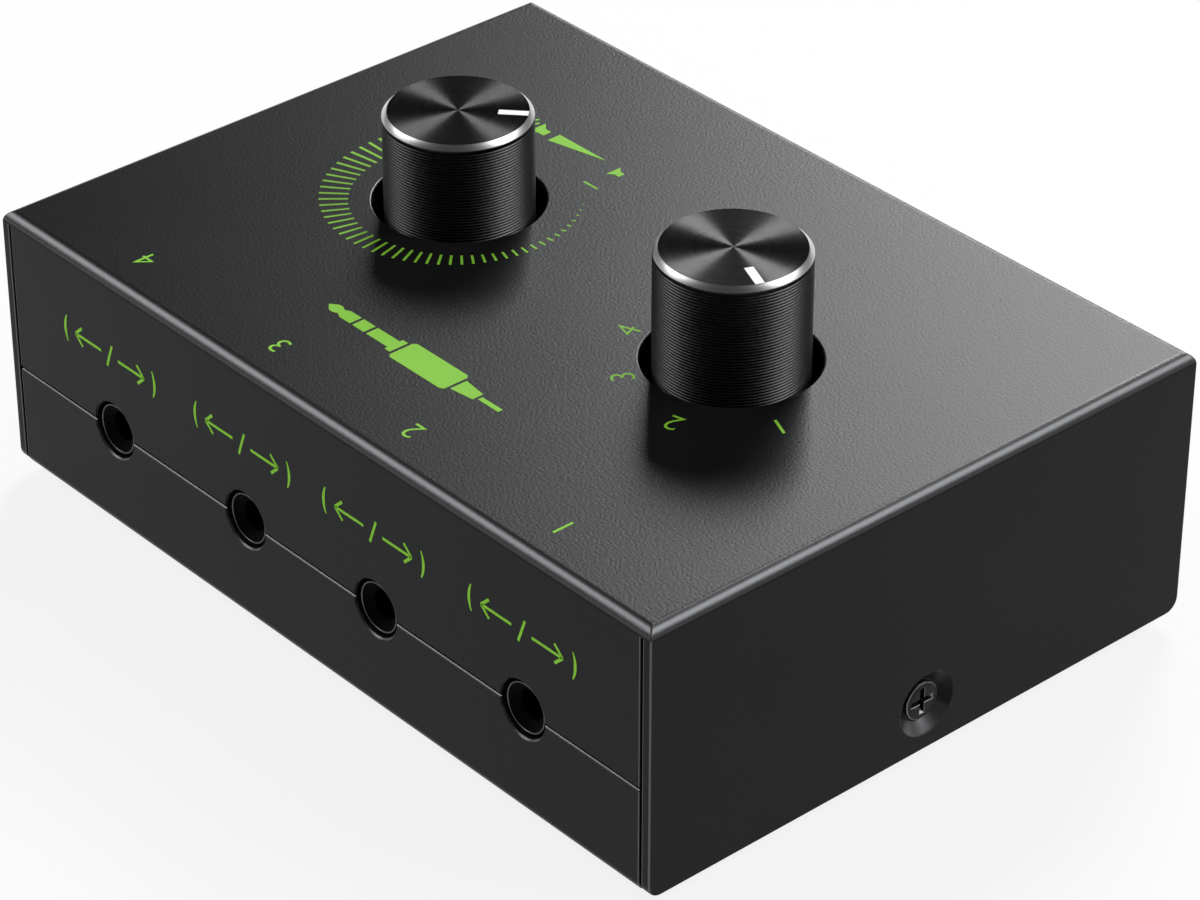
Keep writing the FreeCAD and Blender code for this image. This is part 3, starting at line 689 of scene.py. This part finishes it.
def panel_holes():
    return [panel_hole(x, -1) for x in FRONT_JACKS] + [panel_hole(REAR_JACK, 1)]


def flange_window(side, edge):
    """Cutter for the tray's place and the two slits beside the folded flange, with broken edges."""
    low_edge = SEAM + SEAM_GAP / 2
    slit_top = COVER_HIGH.z - BEND_OUTSIDE

    def ring(y, grow):
        outer, inner = INNER_X + grow, TRAY_HIGH.x - grow
        top, foot = slit_top + grow, COVER_LOW.z - BEYOND
        line = [
            (-outer, foot), (outer, foot), (outer, top), (inner, top), (inner, low_edge + grow),
            (-inner, low_edge + grow), (-inner, top), (-outer, top)]
        return [(x, side * y, z) for x, z in line]
    return lofted([
        ring(INNER_Y - BEYOND, 0.0), ring(HALF_Y - edge, 0.0), ring(HALF_Y - edge * 0.3, edge * 0.3),
        ring(HALF_Y, edge), ring(HALF_Y + BEYOND, edge + 0.01)])


def dimple_bulge():
    """Back of the pressed dimple, inside the wall."""
    return turned([
        (0, SHEET / 2), (DIMPLE_MOUTH + DIMPLE_WALL, SHEET / 2), (DIMPLE_MOUTH + DIMPLE_WALL, SHEET),
        (SEAT_RADIUS + DIMPLE_WALL, HEAD_DEPTH + DIMPLE_WALL), (SEAT_HOLE + DIMPLE_WALL, DIMPLE_DEPTH),
        (0, DIMPLE_DEPTH)], ROUND_STEPS)


def dimple_recess():
    """Pressed cone round the head, a narrow moat, then the head's seat and the hole."""
    lip = DIMPLE_LIP
    moat = HEAD_DEPTH + MOAT_DEPTH
    return turned([
        (0, -BEYOND), (DIMPLE_MOUTH + lip, -BEYOND), (DIMPLE_MOUTH + lip, -0.01),
        (DIMPLE_MOUTH + lip * 0.4, 0.02), (DIMPLE_MOUTH - lip * 0.3, 0.09),
        (SEAT_RADIUS + MOAT_WIDTH, moat), (SEAT_RADIUS + 0.03, moat), (SEAT_RADIUS, SEAT_START),
        (SEAT_HOLE, SEAT_END), (SEAT_HOLE, DIMPLE_DEPTH + BEYOND), (0, DIMPLE_DEPTH + BEYOND)],
        ROUND_STEPS)


def cover_mesh():
    edge = bpy.context.scene.selector_case.edge_break / MM
    shell = block(COVER_LOW, COVER_HIGH)
    rounded(shell, level_along_x(COVER_LOW.z), WALL_CORNER, 6)
    rounded(shell, level(COVER_HIGH.z), BEND_OUTSIDE, 8)
    rounded(shell, creased, edge, 2)
    inside = block((-INNER_X, -INNER_Y, COVER_LOW.z - BEYOND), (INNER_X, INNER_Y, COVER_HIGH.z - SHEET))
    rounded(inside, level(COVER_HIGH.z - SHEET), BEND_INSIDE, 3)
    shell = cut(cut(shell, inside), flange_window(-1, edge), flange_window(1, edge))
    knob_holes = [knob_hole(centre.x, centre.y, edge) for centre, _ in KNOBS.values()]
    shell = cut(shell, *knob_holes, *panel_holes())
    shell = joined(shell, *[facing_in(dimple_bulge(), side) for side in (-1, 1)])
    return cut(shell, *[facing_in(dimple_recess(), side) for side in (-1, 1)])


def spigot_hole(x, y):
    """Hole in the tray's floor that a pillar's end is pressed into, with a soft lower edge."""
    hole = flared_hole(PILLAR_SPIGOT, SHEET + BEYOND, 0.08, 32)
    return moved(hole, shift(x, y, TRAY_LOW.z) @ rotation(180, "X"))


def tray_tab(side):
    """Upright tab behind a side wall's dimple."""
    x = sorted((side * TAB_FACE, side * (TAB_FACE - SHEET)))
    top = TRAY_LOW.z + SHEET + TAB_HEIGHT
    return block((x[0], -TAB_HALF_WIDTH, TRAY_LOW.z + SHEET / 2), (x[1], TAB_HALF_WIDTH, top))


def tab_collar(side, radius, start, end):
    """Round bar across a tab, for its collar and for the hole in it."""
    collar = turned([(0, start), (radius, start), (radius, end), (0, end)], 48)
    return facing_in(collar, side)


def tray_mesh():
    edge = bpy.context.scene.selector_case.edge_break / MM
    tray = block(TRAY_LOW, TRAY_HIGH)
    rounded(tray, level_along_x(TRAY_LOW.z), BEND_OUTSIDE, 8)
    rounded(tray, level_along_x(TRAY_HIGH.z), RIM_ROUNDING, 6)
    rounded(tray, creased, edge, 2)
    floor = TRAY_LOW.z + SHEET
    hollow = block((-HALF_X, -INNER_Y, floor), (HALF_X, INNER_Y, TRAY_HIGH.z + BEYOND))
    rounded(hollow, level_along_x(floor), BEND_INSIDE, 3)
    tray = cut(tray, hollow)
    relief = TAB_HALF_WIDTH + TAB_RELIEF
    openings = panel_holes()
    for side in (-1, 1):
        x = sorted((side * TAB_FACE, side * (HALF_X + BEYOND)))
        openings.append(block((x[0], -relief, TRAY_LOW.z - BEYOND), (x[1], relief, floor + BEYOND)))
        openings += [spigot_hole(side * SPIGOT_X, end * SPIGOT_Y) for end in (-1, 1)]
    tray = cut(tray, *openings)
    tray = joined(tray, *[tray_tab(side) for side in (-1, 1)])
    face = HALF_X - TAB_FACE
    end = face + SHEET + COLLAR_LENGTH
    radius = SCREW_SHANK + COLLAR_WALL
    tray = joined(tray, *[tab_collar(side, radius, face + SHEET / 2, end) for side in (-1, 1)])
    hole = SCREW_SHANK + 0.02
    return cut(tray, *[tab_collar(side, hole, face - BEYOND, end + BEYOND) for side in (-1, 1)])


def cross_bar(turn):
    """One bar of the cross recess, narrowing as it goes in from the head."""
    x, y = CROSS_LENGTH / 2, CROSS_WIDTH / 2
    shape = lofted([
        rectangle(-x - BEYOND, x + BEYOND, y + BEYOND, -BEYOND),
        rectangle(-x + CROSS_EDGE, x - CROSS_EDGE, y - CROSS_EDGE, CROSS_EDGE),
        rectangle(-CROSS_TIP, CROSS_TIP, y - CROSS_EDGE - CROSS_TAPER * CROSS_DEPTH, CROSS_DEPTH)])
    return moved(shape, shift(0, 0, HEAD_DEPTH) @ rotation(turn))


def screw_mesh(side):
    neck = SEAT_START + SCREW_HEAD - SCREW_SHANK
    end = HEAD_DEPTH + SCREW_LENGTH
    screw = turned([
        (0, HEAD_DEPTH + 0.01), (1.2, HEAD_DEPTH + 0.01), (SCREW_HEAD - SCREW_RIM, HEAD_DEPTH + 0.03),
        (SCREW_HEAD - SCREW_RIM * 0.3, HEAD_DEPTH + 0.08), (SCREW_HEAD, SEAT_START),
        (SCREW_SHANK, neck), (SCREW_SHANK, end - SCREW_END_BREAK), (SCREW_SHANK - SCREW_END_BREAK, end),
        (0, end)], ROUND_STEPS)
    for turn in (0, 90):
        screw = cut(screw, cross_bar(turn))
    return facing_in(screw, side)


def lip_mesh(x, side, front):
    """Smooth lip round the mouth of a jack's nose, just proud of it."""
    turns = [math.tau * k / LIP_SIDES for k in range(LIP_SIDES)]
    ring = [(LIP_RADIUS + LIP_TUBE * math.cos(turn), LIP_TUBE * math.sin(turn)) for turn in turns]
    return facing_out(turned(ring, ROUND_STEPS, ring=True), x, side, front)


def foot_mesh(x, y, height):
    """Round foot with a shallow dish underneath and a soft lower edge."""
    r = FOOT_RADIUS
    foot = turned([
        (0, 0.12), (r - 1.5, 0.12), (r - 1.1, 0), (r - 0.6, 0), (r - 0.3, 0.08),
        (r - 0.08, 0.3), (r, 0.6), (r, height), (0, height)], ROUND_STEPS)
    return moved(foot, shift(x, y))


def with_bends(bm):
    """Writes how far each corner of a bend or broken edge faces upwards, and the upright corner edges."""
    layer = bm.loops.layers.float.new("bend")
    corner_x, corner_y = (max(abs(vert.co[i]) for vert in bm.verts) - CORNER_REACH[i] for i in (0, 1))
    curved = {face for face in bm.faces if max(abs(part) for part in face.normal) < FLAT}
    for face in curved:
        upright = abs(face.normal.z) < 0.3 and min(abs(face.normal.x), abs(face.normal.y)) > 0.25
        for loop in face.loops:
            near = [other.normal for other in loop.vert.link_faces
                    if other in curved and other.normal.angle(face.normal) < SAME_BEND]
            rise = math.degrees(math.asin(sum(near, Vector()).normalized().z))
            weight = min((BEND_TOP - rise) / BEND_TOP_FADE, (rise - BEND_FOOT) / BEND_FOOT_FADE, 1.0)
            place = loop.vert.co
            if upright and abs(place.x) > corner_x and abs(place.y) > corner_y:
                weight = CORNER_WEIGHT
            loop[layer] = max(0.0, weight)
    return bm


class SELECTOR_OT_case(bpy.types.Operator):
    """Folds the cover and the tray out of sheet, with their openings, slits and screw seats"""
    bl_idname = "source_selector.case"
    bl_label = "Cover and tray"

    def execute(self, context):
        paint = case_paint()
        piece("cover", with_bends(cover_mesh()), [paint], "case", ["top_cover"])
        piece("tray", with_bends(tray_mesh()), [paint], "case", ["base_tray"])
        return {"FINISHED"}


class SELECTOR_OT_hardware(bpy.types.Operator):
    """Turns the side screws and moulds the jacks' lips and the rubber feet"""
    bl_idname = "source_selector.hardware"
    bl_label = "Screws and feet"

    def execute(self, context):
        screws = gathered([screw_mesh(side) for side in (-1, 1)])
        # The rim and the cross's sloped faces take the lighter steel, picked by the slope of each face.
        piece("cross_head_screws", screws, [screw_black(), screw_worn()], "case",
              ["side_screws"], paint=lambda face: int(0.05 < abs(face.normal.x) < FLAT))
        front = -low_high("jack_1_housing")[0].y
        lips = [lip_mesh(x, -1, front) for x in FRONT_JACKS] + [lip_mesh(REAR_JACK, 1, front)]
        piece("jack_lips", gathered(lips), [jack_lip()], "case")
        high = low_high("rubber_feet")[1]
        x, y = high.x - FOOT_RADIUS, high.y - FOOT_RADIUS
        feet = gathered([foot_mesh(sx * x, sy * y, high.z) for sx in (-1, 1) for sy in (-1, 1)])
        piece("round_feet", feet, [foot_rubber()], "case", ["rubber_feet"])
        return {"FINISHED"}


def grooves(radius, top, bottom):
    """Outline points of the grip grooves down a knob's side: a land, a ledge in and a slope back out."""
    settings = bpy.context.scene.selector_knobs
    depth = settings.groove_depth / MM
    count = round((top - bottom) / (settings.groove_pitch / MM))
    pitch = (top - bottom) / count
    points = [(radius, top)]
    for k in range(count):
        start = top - pitch * k
        land_end = start - pitch * LAND_SHARE
        points += [(radius, land_end), (radius - depth, land_end - 0.01), (radius, start - pitch)]
    return points


def knob_mesh(centre, box):
    low, high = box
    radius = (high.y - low.y) / 2
    inside = radius - KNOB_WALL
    top, side_top, bottom = high.z, high.z - KNOB_BEVEL, low.z
    outline = [
        (0, top), (radius - KNOB_BEVEL, top), (radius - 0.03, side_top + 0.03), (radius, side_top - 0.05),
        *grooves(radius, side_top - GRIP_START, bottom + GRIP_END),
        (radius - 0.1, bottom), (inside, bottom), (inside, top - KNOB_TOP), (0, top - KNOB_TOP)]
    return moved(turned(outline, bpy.context.scene.selector_knobs.steps), shift(centre.x, centre.y))


def knob_parts(centre, box):
    """Says which finish a knob's face takes: groove, spun face, bevelled edge or the land between grooves.
    The groove faces take a lighter copy of the lands' black metal, a painted sheen.
    """
    low, high = box
    radius = (high.y - low.y) / 2

    def choose(face):
        place = face.calc_center_median() / MM
        if place.z < high.z - KNOB_BEVEL:
            return LAND if abs(face.normal.z) < 0.02 else GROOVE
        out = math.hypot(place.x - centre.x, place.y - centre.y)
        return FACE if out < radius - KNOB_BEVEL else BEVEL
    return choose


def pointer_mesh(centre, top, angle):
    """Line filled into a knob's face, just proud of it."""
    start, end, half = POINTER_START, POINTER_END, POINTER_WIDTH / 2
    shape = lofted([
        rectangle(start, end, half, top - 0.2), rectangle(start, end, half, top + POINTER_RISE / 2),
        rectangle(start + POINTER_EDGE, end - POINTER_EDGE, half - POINTER_EDGE, top + POINTER_RISE)])
    return moved(shape, shift(centre.x, centre.y) @ rotation(angle))


class SELECTOR_OT_knobs(bpy.types.Operator):
    """Turns both knobs, with grip grooves, a spun face, a bright bevel and a white pointer"""
    bl_idname = "source_selector.knobs"
    bl_label = "Knobs and pointers"

    def execute(self, context):
        # The groove faces get a lighter copy of the lands' black metal: a painted sheen on the slopes that
        # face up to the lamps.
        groove = knob_side("knob_groove", (0.078, 0.078, 0.081))
        land = knob_side("knob_land", (0.015, 0.015, 0.016))
        white = pointer_white()
        settings = context.scene.selector_knobs
        for name, (centre, box) in KNOBS.items():
            axis = Vector((centre.x, centre.y, 0)) * MM
            # The selector knob takes its lighter face colour, which is painted light.
            colour = settings.volume_face if centre.x < 0 else settings.selector_face
            face, bevel = spun_face(f"{name}_face", axis, colour), cut_edge(f"{name}_bevel", axis)
            knob = piece(f"{name}_grip", knob_mesh(centre, box), [groove, face, bevel, land], name,
                         [f"{name}_shell"], paint=knob_parts(centre, box))
            knob.modifiers.clear()
            piece(f"{name}_line", pointer_mesh(centre, box[1].z, POINTER_ANGLES[name]), [white], name,
                  [f"{name}_pointer"])
        return {"FINISHED"}


def on_top(x, y, turn=180.0):
    """Places a flat mark on the cover, read from the rear edge unless it is turned otherwise."""
    return shift(x, y, COVER_HIGH.z) @ rotation(turn)


def on_front(x, z):
    """Places a flat mark upright on the front."""
    return shift(x, -HALF_Y, z) @ rotation(90, "X")


def inked(outline):
    """Flat mark in the XY plane from a closed outline, as thick as the ink."""
    thick = bpy.context.scene.selector_marks.ink_thickness / MM
    return lofted([[(x, y, -thick / 2) for x, y in outline], [(x, y, thick) for x, y in outline]])


def mirrored(half):
    """Flat mark from the upper half of an outline that is the same below the X axis."""
    return inked([(x, -y) for x, y in half] + [(x, y) for x, y in reversed(half) if y])


def bar(x0, y0, x1, y1, width, end_width=None):
    """Straight stroke between two points."""
    along = Vector((x1 - x0, y1 - y0)).normalized()
    across = Vector((-along.y, along.x))
    a, b = across * width / 2, across * (end_width or width) / 2
    return inked([(x0 - a.x, y0 - a.y), (x1 - b.x, y1 - b.y), (x1 + b.x, y1 + b.y), (x0 + a.x, y0 + a.y)])


def crescent(x, y, radius, start, end, width, tip_width, steps=14):
    """Arc stroke that thins towards its ends."""
    outer, inner = [], []
    for k in range(steps + 1):
        t = k / steps
        angle = math.radians(start + (end - start) * t)
        half = (tip_width + (width - tip_width) * math.sin(math.pi * t)) / 2
        outer.append((x + (radius + half) * math.cos(angle), y + (radius + half) * math.sin(angle)))
        inner.append((x + (radius - half) * math.cos(angle), y + (radius - half) * math.sin(angle)))
    return inked(outer + inner[::-1])


def numeral(number):
    """Numeral as a thin solid about its own middle."""
    curve = bpy.data.curves.new("numeral", "FONT")
    curve.body = str(number)
    curve.extrude = bpy.context.scene.selector_marks.ink_thickness / MM
    curve.offset = NUMERAL_OFFSET
    curve.resolution_u = 6
    obj = placed("numeral", curve)
    bm = closed(evaluated(obj))
    bpy.data.objects.remove(obj)
    bpy.data.curves.remove(curve)
    low = [min(v.co[i] for v in bm.verts) for i in (0, 1)]
    high = [max(v.co[i] for v in bm.verts) for i in (0, 1)]
    scale = NUMERAL_HEIGHT / (high[1] - low[1])
    centre = Vector(((low[0] + high[0]) / 2, (low[1] + high[1]) / 2, 0))
    return moved(bm, Matrix.Diagonal((scale, scale, 1, 1)) @ Matrix.Translation(-centre))


def volume_scale():
    """Ticks round the volume knob that grow longer and bolder with the volume, and its two end signs."""
    centre = KNOBS["volume_knob"][0]
    count = bpy.context.scene.selector_marks.ticks
    marks = []
    for k in range(count):
        t = k / (count - 1)
        outer = TICK_OUTER[0] + (TICK_OUTER[1] - TICK_OUTER[0]) * t ** 1.35
        inner = TICK_INNER[1] + (TICK_INNER[0] - TICK_INNER[1]) * max(0.0, 1 - t / TICK_INNER_END) ** 1.6
        width = TICK_WIDTH[0] + (TICK_WIDTH[1] - TICK_WIDTH[0]) * t
        tick = bar(inner, 0, max(outer, inner + TICK_SHORTEST), 0, width * 0.9, width)
        angle = POINTER_ANGLES["volume_knob"] - SCALE_SWEEP * t
        marks.append(moved(tick, on_top(centre.x, centre.y, angle)))
    across = (-SIGN_HALF, 0, SIGN_HALF, 0)
    halves = (0, -SIGN_HALF, 0, -SIGN_GAP), (0, SIGN_GAP, 0, SIGN_HALF)
    for x, strokes in ((SIGN_X, [across]), (-SIGN_X, [across, *halves])):
        marks += [moved(bar(*stroke, SIGN_STROKE), on_top(centre.x + x, SIGN_Y)) for stroke in strokes]
    return gathered(marks)


def speaker(x, size):
    """Loudspeaker sign: a square back with a cone opening to the right."""
    s = size / 2
    return mirrored([(x - s, s * 0.42), (x - s * 0.35, s * 0.42), (x + s * 0.35, s)])


def volume_sign():
    """Quiet loudspeaker, growing wedge, loud loudspeaker."""
    marks = [speaker(-7.2, 2.2), inked([(-4.7, -0.95), (3.6, -0.95), (3.6, 0.95)]), speaker(6.2, 2.9)]
    marks += [crescent(6.0, 0, r, -38, 38, 0.34, 0.3) for r in (1.55, 2.45)]
    return moved(gathered(marks), on_top(KNOBS["volume_knob"][0].x, VOLUME_SIGN_Y))


def plug_sign():
    """Side view of a phone plug with its lead."""
    halves = [
        [(-14.5, 0.32), (-11.2, 0.32)], [(-10.8, 0.75), (-7.6, 1.15)],
        [(-7.2, 1.6), (-6.8, 1.95), (1.6, 1.95), (2.0, 1.6)],
        [(2.4, 1.3), (3.3, 1.3)], [(3.3, 0.85), (7.0, 0.85)], [(7.4, 0.85), (9.4, 0.85)],
        [(9.8, 0.85), (11.6, 0.85), (12.3, 0.5), (13.0, 0.8), (13.6, 0.72), (14.5, 0)]]
    return moved(gathered([mirrored(half) for half in halves]), on_top(*PLUG_SIGN_AT))


def input_numbers():
    """Number of each input, along the front edge of the cover."""
    places = enumerate(FRONT_JACKS, start=1)
    return gathered([moved(numeral(n), on_top(x, INPUT_NUMBERS_Y)) for n, x in places])


def selector_numbers():
    """Number at each stop of the selector knob, its top pointing outwards."""
    centre = KNOBS["selector_knob"][0]
    marks = []
    for n, (out, lean) in enumerate(STOP_NUMBERS):
        angle = POINTER_ANGLES["selector_knob"] - STOP_ANGLE * n
        x = centre.x + out * math.cos(math.radians(angle))
        y = centre.y + out * math.sin(math.radians(angle))
        marks.append(moved(numeral(n + 1), on_top(x, y, angle + lean - 90)))
    return gathered(marks)


def arrow(tail, tip, half, width):
    """Arrow along X with an open head."""
    way = 1 if tip > tail else -1
    back = tip - way * half * 1.05
    return [bar(tail, 0, tip - way * width * 0.6, 0, width), bar(back, half, tip, 0, width),
            bar(back, -half, tip, 0, width)]


def socket_signs():
    """Arrows both ways in brackets, over each front socket."""
    signs = []
    for x in FRONT_JACKS:
        marks = [crescent(-4.35, 0, 4.0, 155, 205, 0.42, 0.16), crescent(4.35, 0, 4.0, 25, -25, 0.42, 0.16)]
        marks += arrow(-1.6, -6.4, 1.2, 0.36) + arrow(1.6, 6.4, 1.2, 0.36)
        marks += [bar(-0.55, -1.5, 0.55, 1.5, 0.34)]
        signs.append(moved(gathered(marks), on_front(x, SOCKET_SIGNS_Z)))
    return gathered(signs)


class SELECTOR_OT_marks(bpy.types.Operator):
    """Prints the volume scale, the numbers and the signs on the case"""
    bl_idname = "source_selector.marks"
    bl_label = "Printed marks"

    def execute(self, context):
        # The front's marks take the same ink made 1.5 times lighter: painted light on the upright front,
        # which gets less light than the top.
        ink, front_ink_lit = print_green("print_green", 1.0), print_green("print_green_front", 1.5)
        for mark in (volume_scale, volume_sign, plug_sign, input_numbers, selector_numbers, socket_signs):
            material = front_ink_lit if mark is socket_signs else ink
            piece(mark.__name__, mark(), [material], "case", sharp=50)
        return {"FINISHED"}


def board_finish():
    """Green board over a weave, with darker lines between its fields of copper."""
    finish = Finish("board_green", (0.010, 0.085, 0.035))
    weave = finish.noise(0.0006, place=finish.stretched(stretch=(4, 1, 1)))
    tracks = finish.cell_edges(0.004)
    finish.ramped(tracks, (0.06, finish.colour), (0.08, (0.006, 0.050, 0.020)))
    return finish.bumped(tracks, 0.00003, 0.4).bumped(weave, 0.00001, 0.3).dulled(weave, 0.28, 0.42).material


def metal_finish(name, colour, roughness, grain):
    """Drawn or turned metal, faintly stained, its marks running along +Z."""
    finish = Finish(name, colour, metallic=1.0)
    brushed = finish.noise(grain, detail=3.0, place=finish.stretched(stretch=(1, 1, 12)))
    finish.mottled(finish.noise(0.004), 0.85, 1.08).dulled(brushed, roughness - 0.08, roughness + 0.12)
    return finish.bumped(brushed, 0.00001, 0.3).material


def plastic_finish(name, colour, roughness, specular):
    """Moulded plastic with a fine spark grain."""
    finish = Finish(name, colour, specular=specular)
    spark = finish.noise(0.0004)
    finish.mottled(finish.noise(0.006), 0.88, 1.12).dulled(spark, roughness - 0.06, roughness + 0.08)
    return finish.bumped(spark, 0.000015, 0.35).material


def laminate_finish():
    """Brown paper laminate, whose layers lie flat."""
    finish = Finish("wafer_brown", (0.16, 0.075, 0.028))
    layers = finish.noise(0.0003, detail=3.0, place=finish.stretched(stretch=(6, 6, 1)))
    return finish.mottled(layers, 0.75, 1.2).dulled(layers, 0.42, 0.6).bumped(layers, 0.00001, 0.4).material


# Metals by slot: colour, roughness and the width of their marks. Plastics: colour, roughness and shine.
METALS = {
    "pillar_brass": ((0.70, 0.48, 0.20), 0.30, 0.0005),
    "plated_steel": ((0.62, 0.62, 0.60), 0.28, 0.0004),
    "shaft_steel": ((0.58, 0.58, 0.60), 0.24, 0.0003),
    "contact_metal": ((0.72, 0.70, 0.64), 0.26, 0.0003),
    "bushing_zinc": ((0.50, 0.51, 0.52), 0.42, 0.0006),
}
PLASTICS = {
    # The jacks' own black plastic, made darker and duller than that: partly real colour, partly painted shade
    # for their recessed noses.
    "jack_plastic": ((0.002, 0.002, 0.0022), 0.6, 0.03),
    "pot_plastic": ((0.030, 0.032, 0.036), 0.46, 0.45),
    "switch_plastic": ((0.022, 0.024, 0.028), 0.44, 0.45),
    "knob_core": ((0.045, 0.045, 0.047), 0.50, 0.45),
}


class SELECTOR_OT_inner_parts(bpy.types.Operator):
    """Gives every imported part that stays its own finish"""
    bl_idname = "source_selector.inner_parts"
    bl_label = "Inner parts"

    def execute(self, context):
        finishes = {"board_green": board_finish(), "wafer_brown": laminate_finish()}
        finishes.update((name, metal_finish(name, *looks)) for name, looks in METALS.items())
        finishes.update((name, plastic_finish(name, *looks)) for name, looks in PLASTICS.items())
        shown = [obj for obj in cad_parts.values() if not obj.hide_render]
        for obj in shown:
            for place in obj.material_slots:
                place.material = finishes[place.material.name.split(".")[0]]
        return {"FINISHED"}


def floor_material():
    """Pale floor that goes partly over to plain white in the picture, in metal and behind glass."""
    settings = bpy.context.scene.selector_stage
    finish = Finish("floor", settings.floor_colour, specular=0.2, roughness=0.6)
    finish.mottled(finish.noise(0.4), 0.99, 1.01)
    rays = finish.node("ShaderNodeLightPath").outputs
    seen = finish.maths("ADD", rays["Is Camera Ray"], rays["Is Glossy Ray"])
    seen = finish.maths("MAXIMUM", seen, rays["Is Transmission Ray"])
    share = finish.maths("MULTIPLY", seen, settings.floor_glow, use_clamp=True)
    white = finish.node("ShaderNodeEmission").outputs[0]
    both = finish.node("ShaderNodeMixShader", {0: share, 1: finish.shader.outputs[0], 2: white})
    finish.tree.links.new(both.outputs[0], finish.tree.nodes["Material Output"].inputs["Surface"])
    return finish.material


def soft_sun(name, strength, azimuth, elevation, spread):
    """Even light from far away, as wide in the sky as a soft box."""
    lamp = bpy.data.lights.new(name, "SUN")
    lamp.energy = strength
    lamp.angle = math.radians(spread)
    obj = placed(name, lamp)
    a, e = math.radians(azimuth), math.radians(elevation)
    towards = Vector((math.cos(a) * math.cos(e), math.sin(a) * math.cos(e), math.sin(e)))
    obj.rotation_euler = towards.to_track_quat("Z", "Y").to_euler()
    obj.location = towards


def camera():
    """Long lens at the place and angle that the picture of the real object was taken from."""
    data = bpy.data.cameras.new("camera")
    data.sensor_width = CAMERA_SENSOR
    data.lens = CAMERA_LENS
    data.clip_start = 0.02
    data.clip_end = 20.0
    obj = placed("camera", data)
    back = CAMERA_RIGHT.cross(CAMERA_UP)
    turn = Matrix((CAMERA_RIGHT, CAMERA_UP, back)).transposed().to_4x4()
    obj.matrix_world = Matrix.Translation(CAMERA_PLACE) @ turn
    bpy.context.scene.camera = obj


class SELECTOR_OT_stage(bpy.types.Operator):
    """Lays the floor, hangs the lights and sets up the camera"""
    bl_idname = "source_selector.stage"
    bl_label = "Floor, lights and camera"

    def execute(self, context):
        settings = context.scene.selector_stage
        bm = bmesh.new()
        bmesh.ops.create_grid(bm, x_segments=4, y_segments=4, size=FLOOR_HALF)
        floor = placed("floor", meshed("floor", bm))
        floor.data.materials.append(floor_material())
        for name, azimuth, elevation, spread in LAMPS:
            soft_sun(name, getattr(settings, name), azimuth, elevation, spread)
        world = bpy.data.worlds.new("room")
        context.scene.world = world
        world.use_nodes = True
        background = world.node_tree.nodes["Background"]
        background.inputs["Color"].default_value = (1.0, 1.0, 1.0, 1.0)
        background.inputs["Strength"].default_value = settings.room_light
        context.scene.view_settings.view_transform = "Standard"
        camera()
        return {"FINISHED"}


STEPS = (
    SELECTOR_OT_case, SELECTOR_OT_hardware, SELECTOR_OT_knobs, SELECTOR_OT_marks,
    SELECTOR_OT_inner_parts, SELECTOR_OT_stage)


class SELECTOR_PT_panel(bpy.types.Panel):
    """Lists the settings and the steps that build the selector"""
    bl_idname = "SELECTOR_PT_panel"
    bl_label = "Audio source selector"
    bl_space_type = "VIEW_3D"
    bl_region_type = "UI"
    bl_category = "Selector"

    def draw(self, context):
        for setting in SETTINGS:
            group = getattr(context.scene, setting)
            box = self.layout.box()
            for name in group.__annotations__:
                box.prop(group, name)
        for step in STEPS:
            self.layout.operator(step.bl_idname)


SETTINGS = {
    "selector_case": CaseSettings, "selector_knobs": KnobSettings, "selector_marks": MarkSettings,
    "selector_stage": StageSettings}
CLASSES = (*SETTINGS.values(), *STEPS, SELECTOR_PT_panel)


def register():
    for cls in CLASSES:
        bpy.utils.register_class(cls)
    for name, group in SETTINGS.items():
        setattr(bpy.types.Scene, name, bpy.props.PointerProperty(type=group))


def unregister():
    for name in SETTINGS:
        delattr(bpy.types.Scene, name)
    for cls in reversed(CLASSES):
        bpy.utils.unregister_class(cls)


def main():
    register()
    for step in STEPS:
        group, name = step.bl_idname.split(".")
        getattr(getattr(bpy.ops, group), name)()
    bpy.context.view_layer.update()


if __name__ == "__main__":
    main()
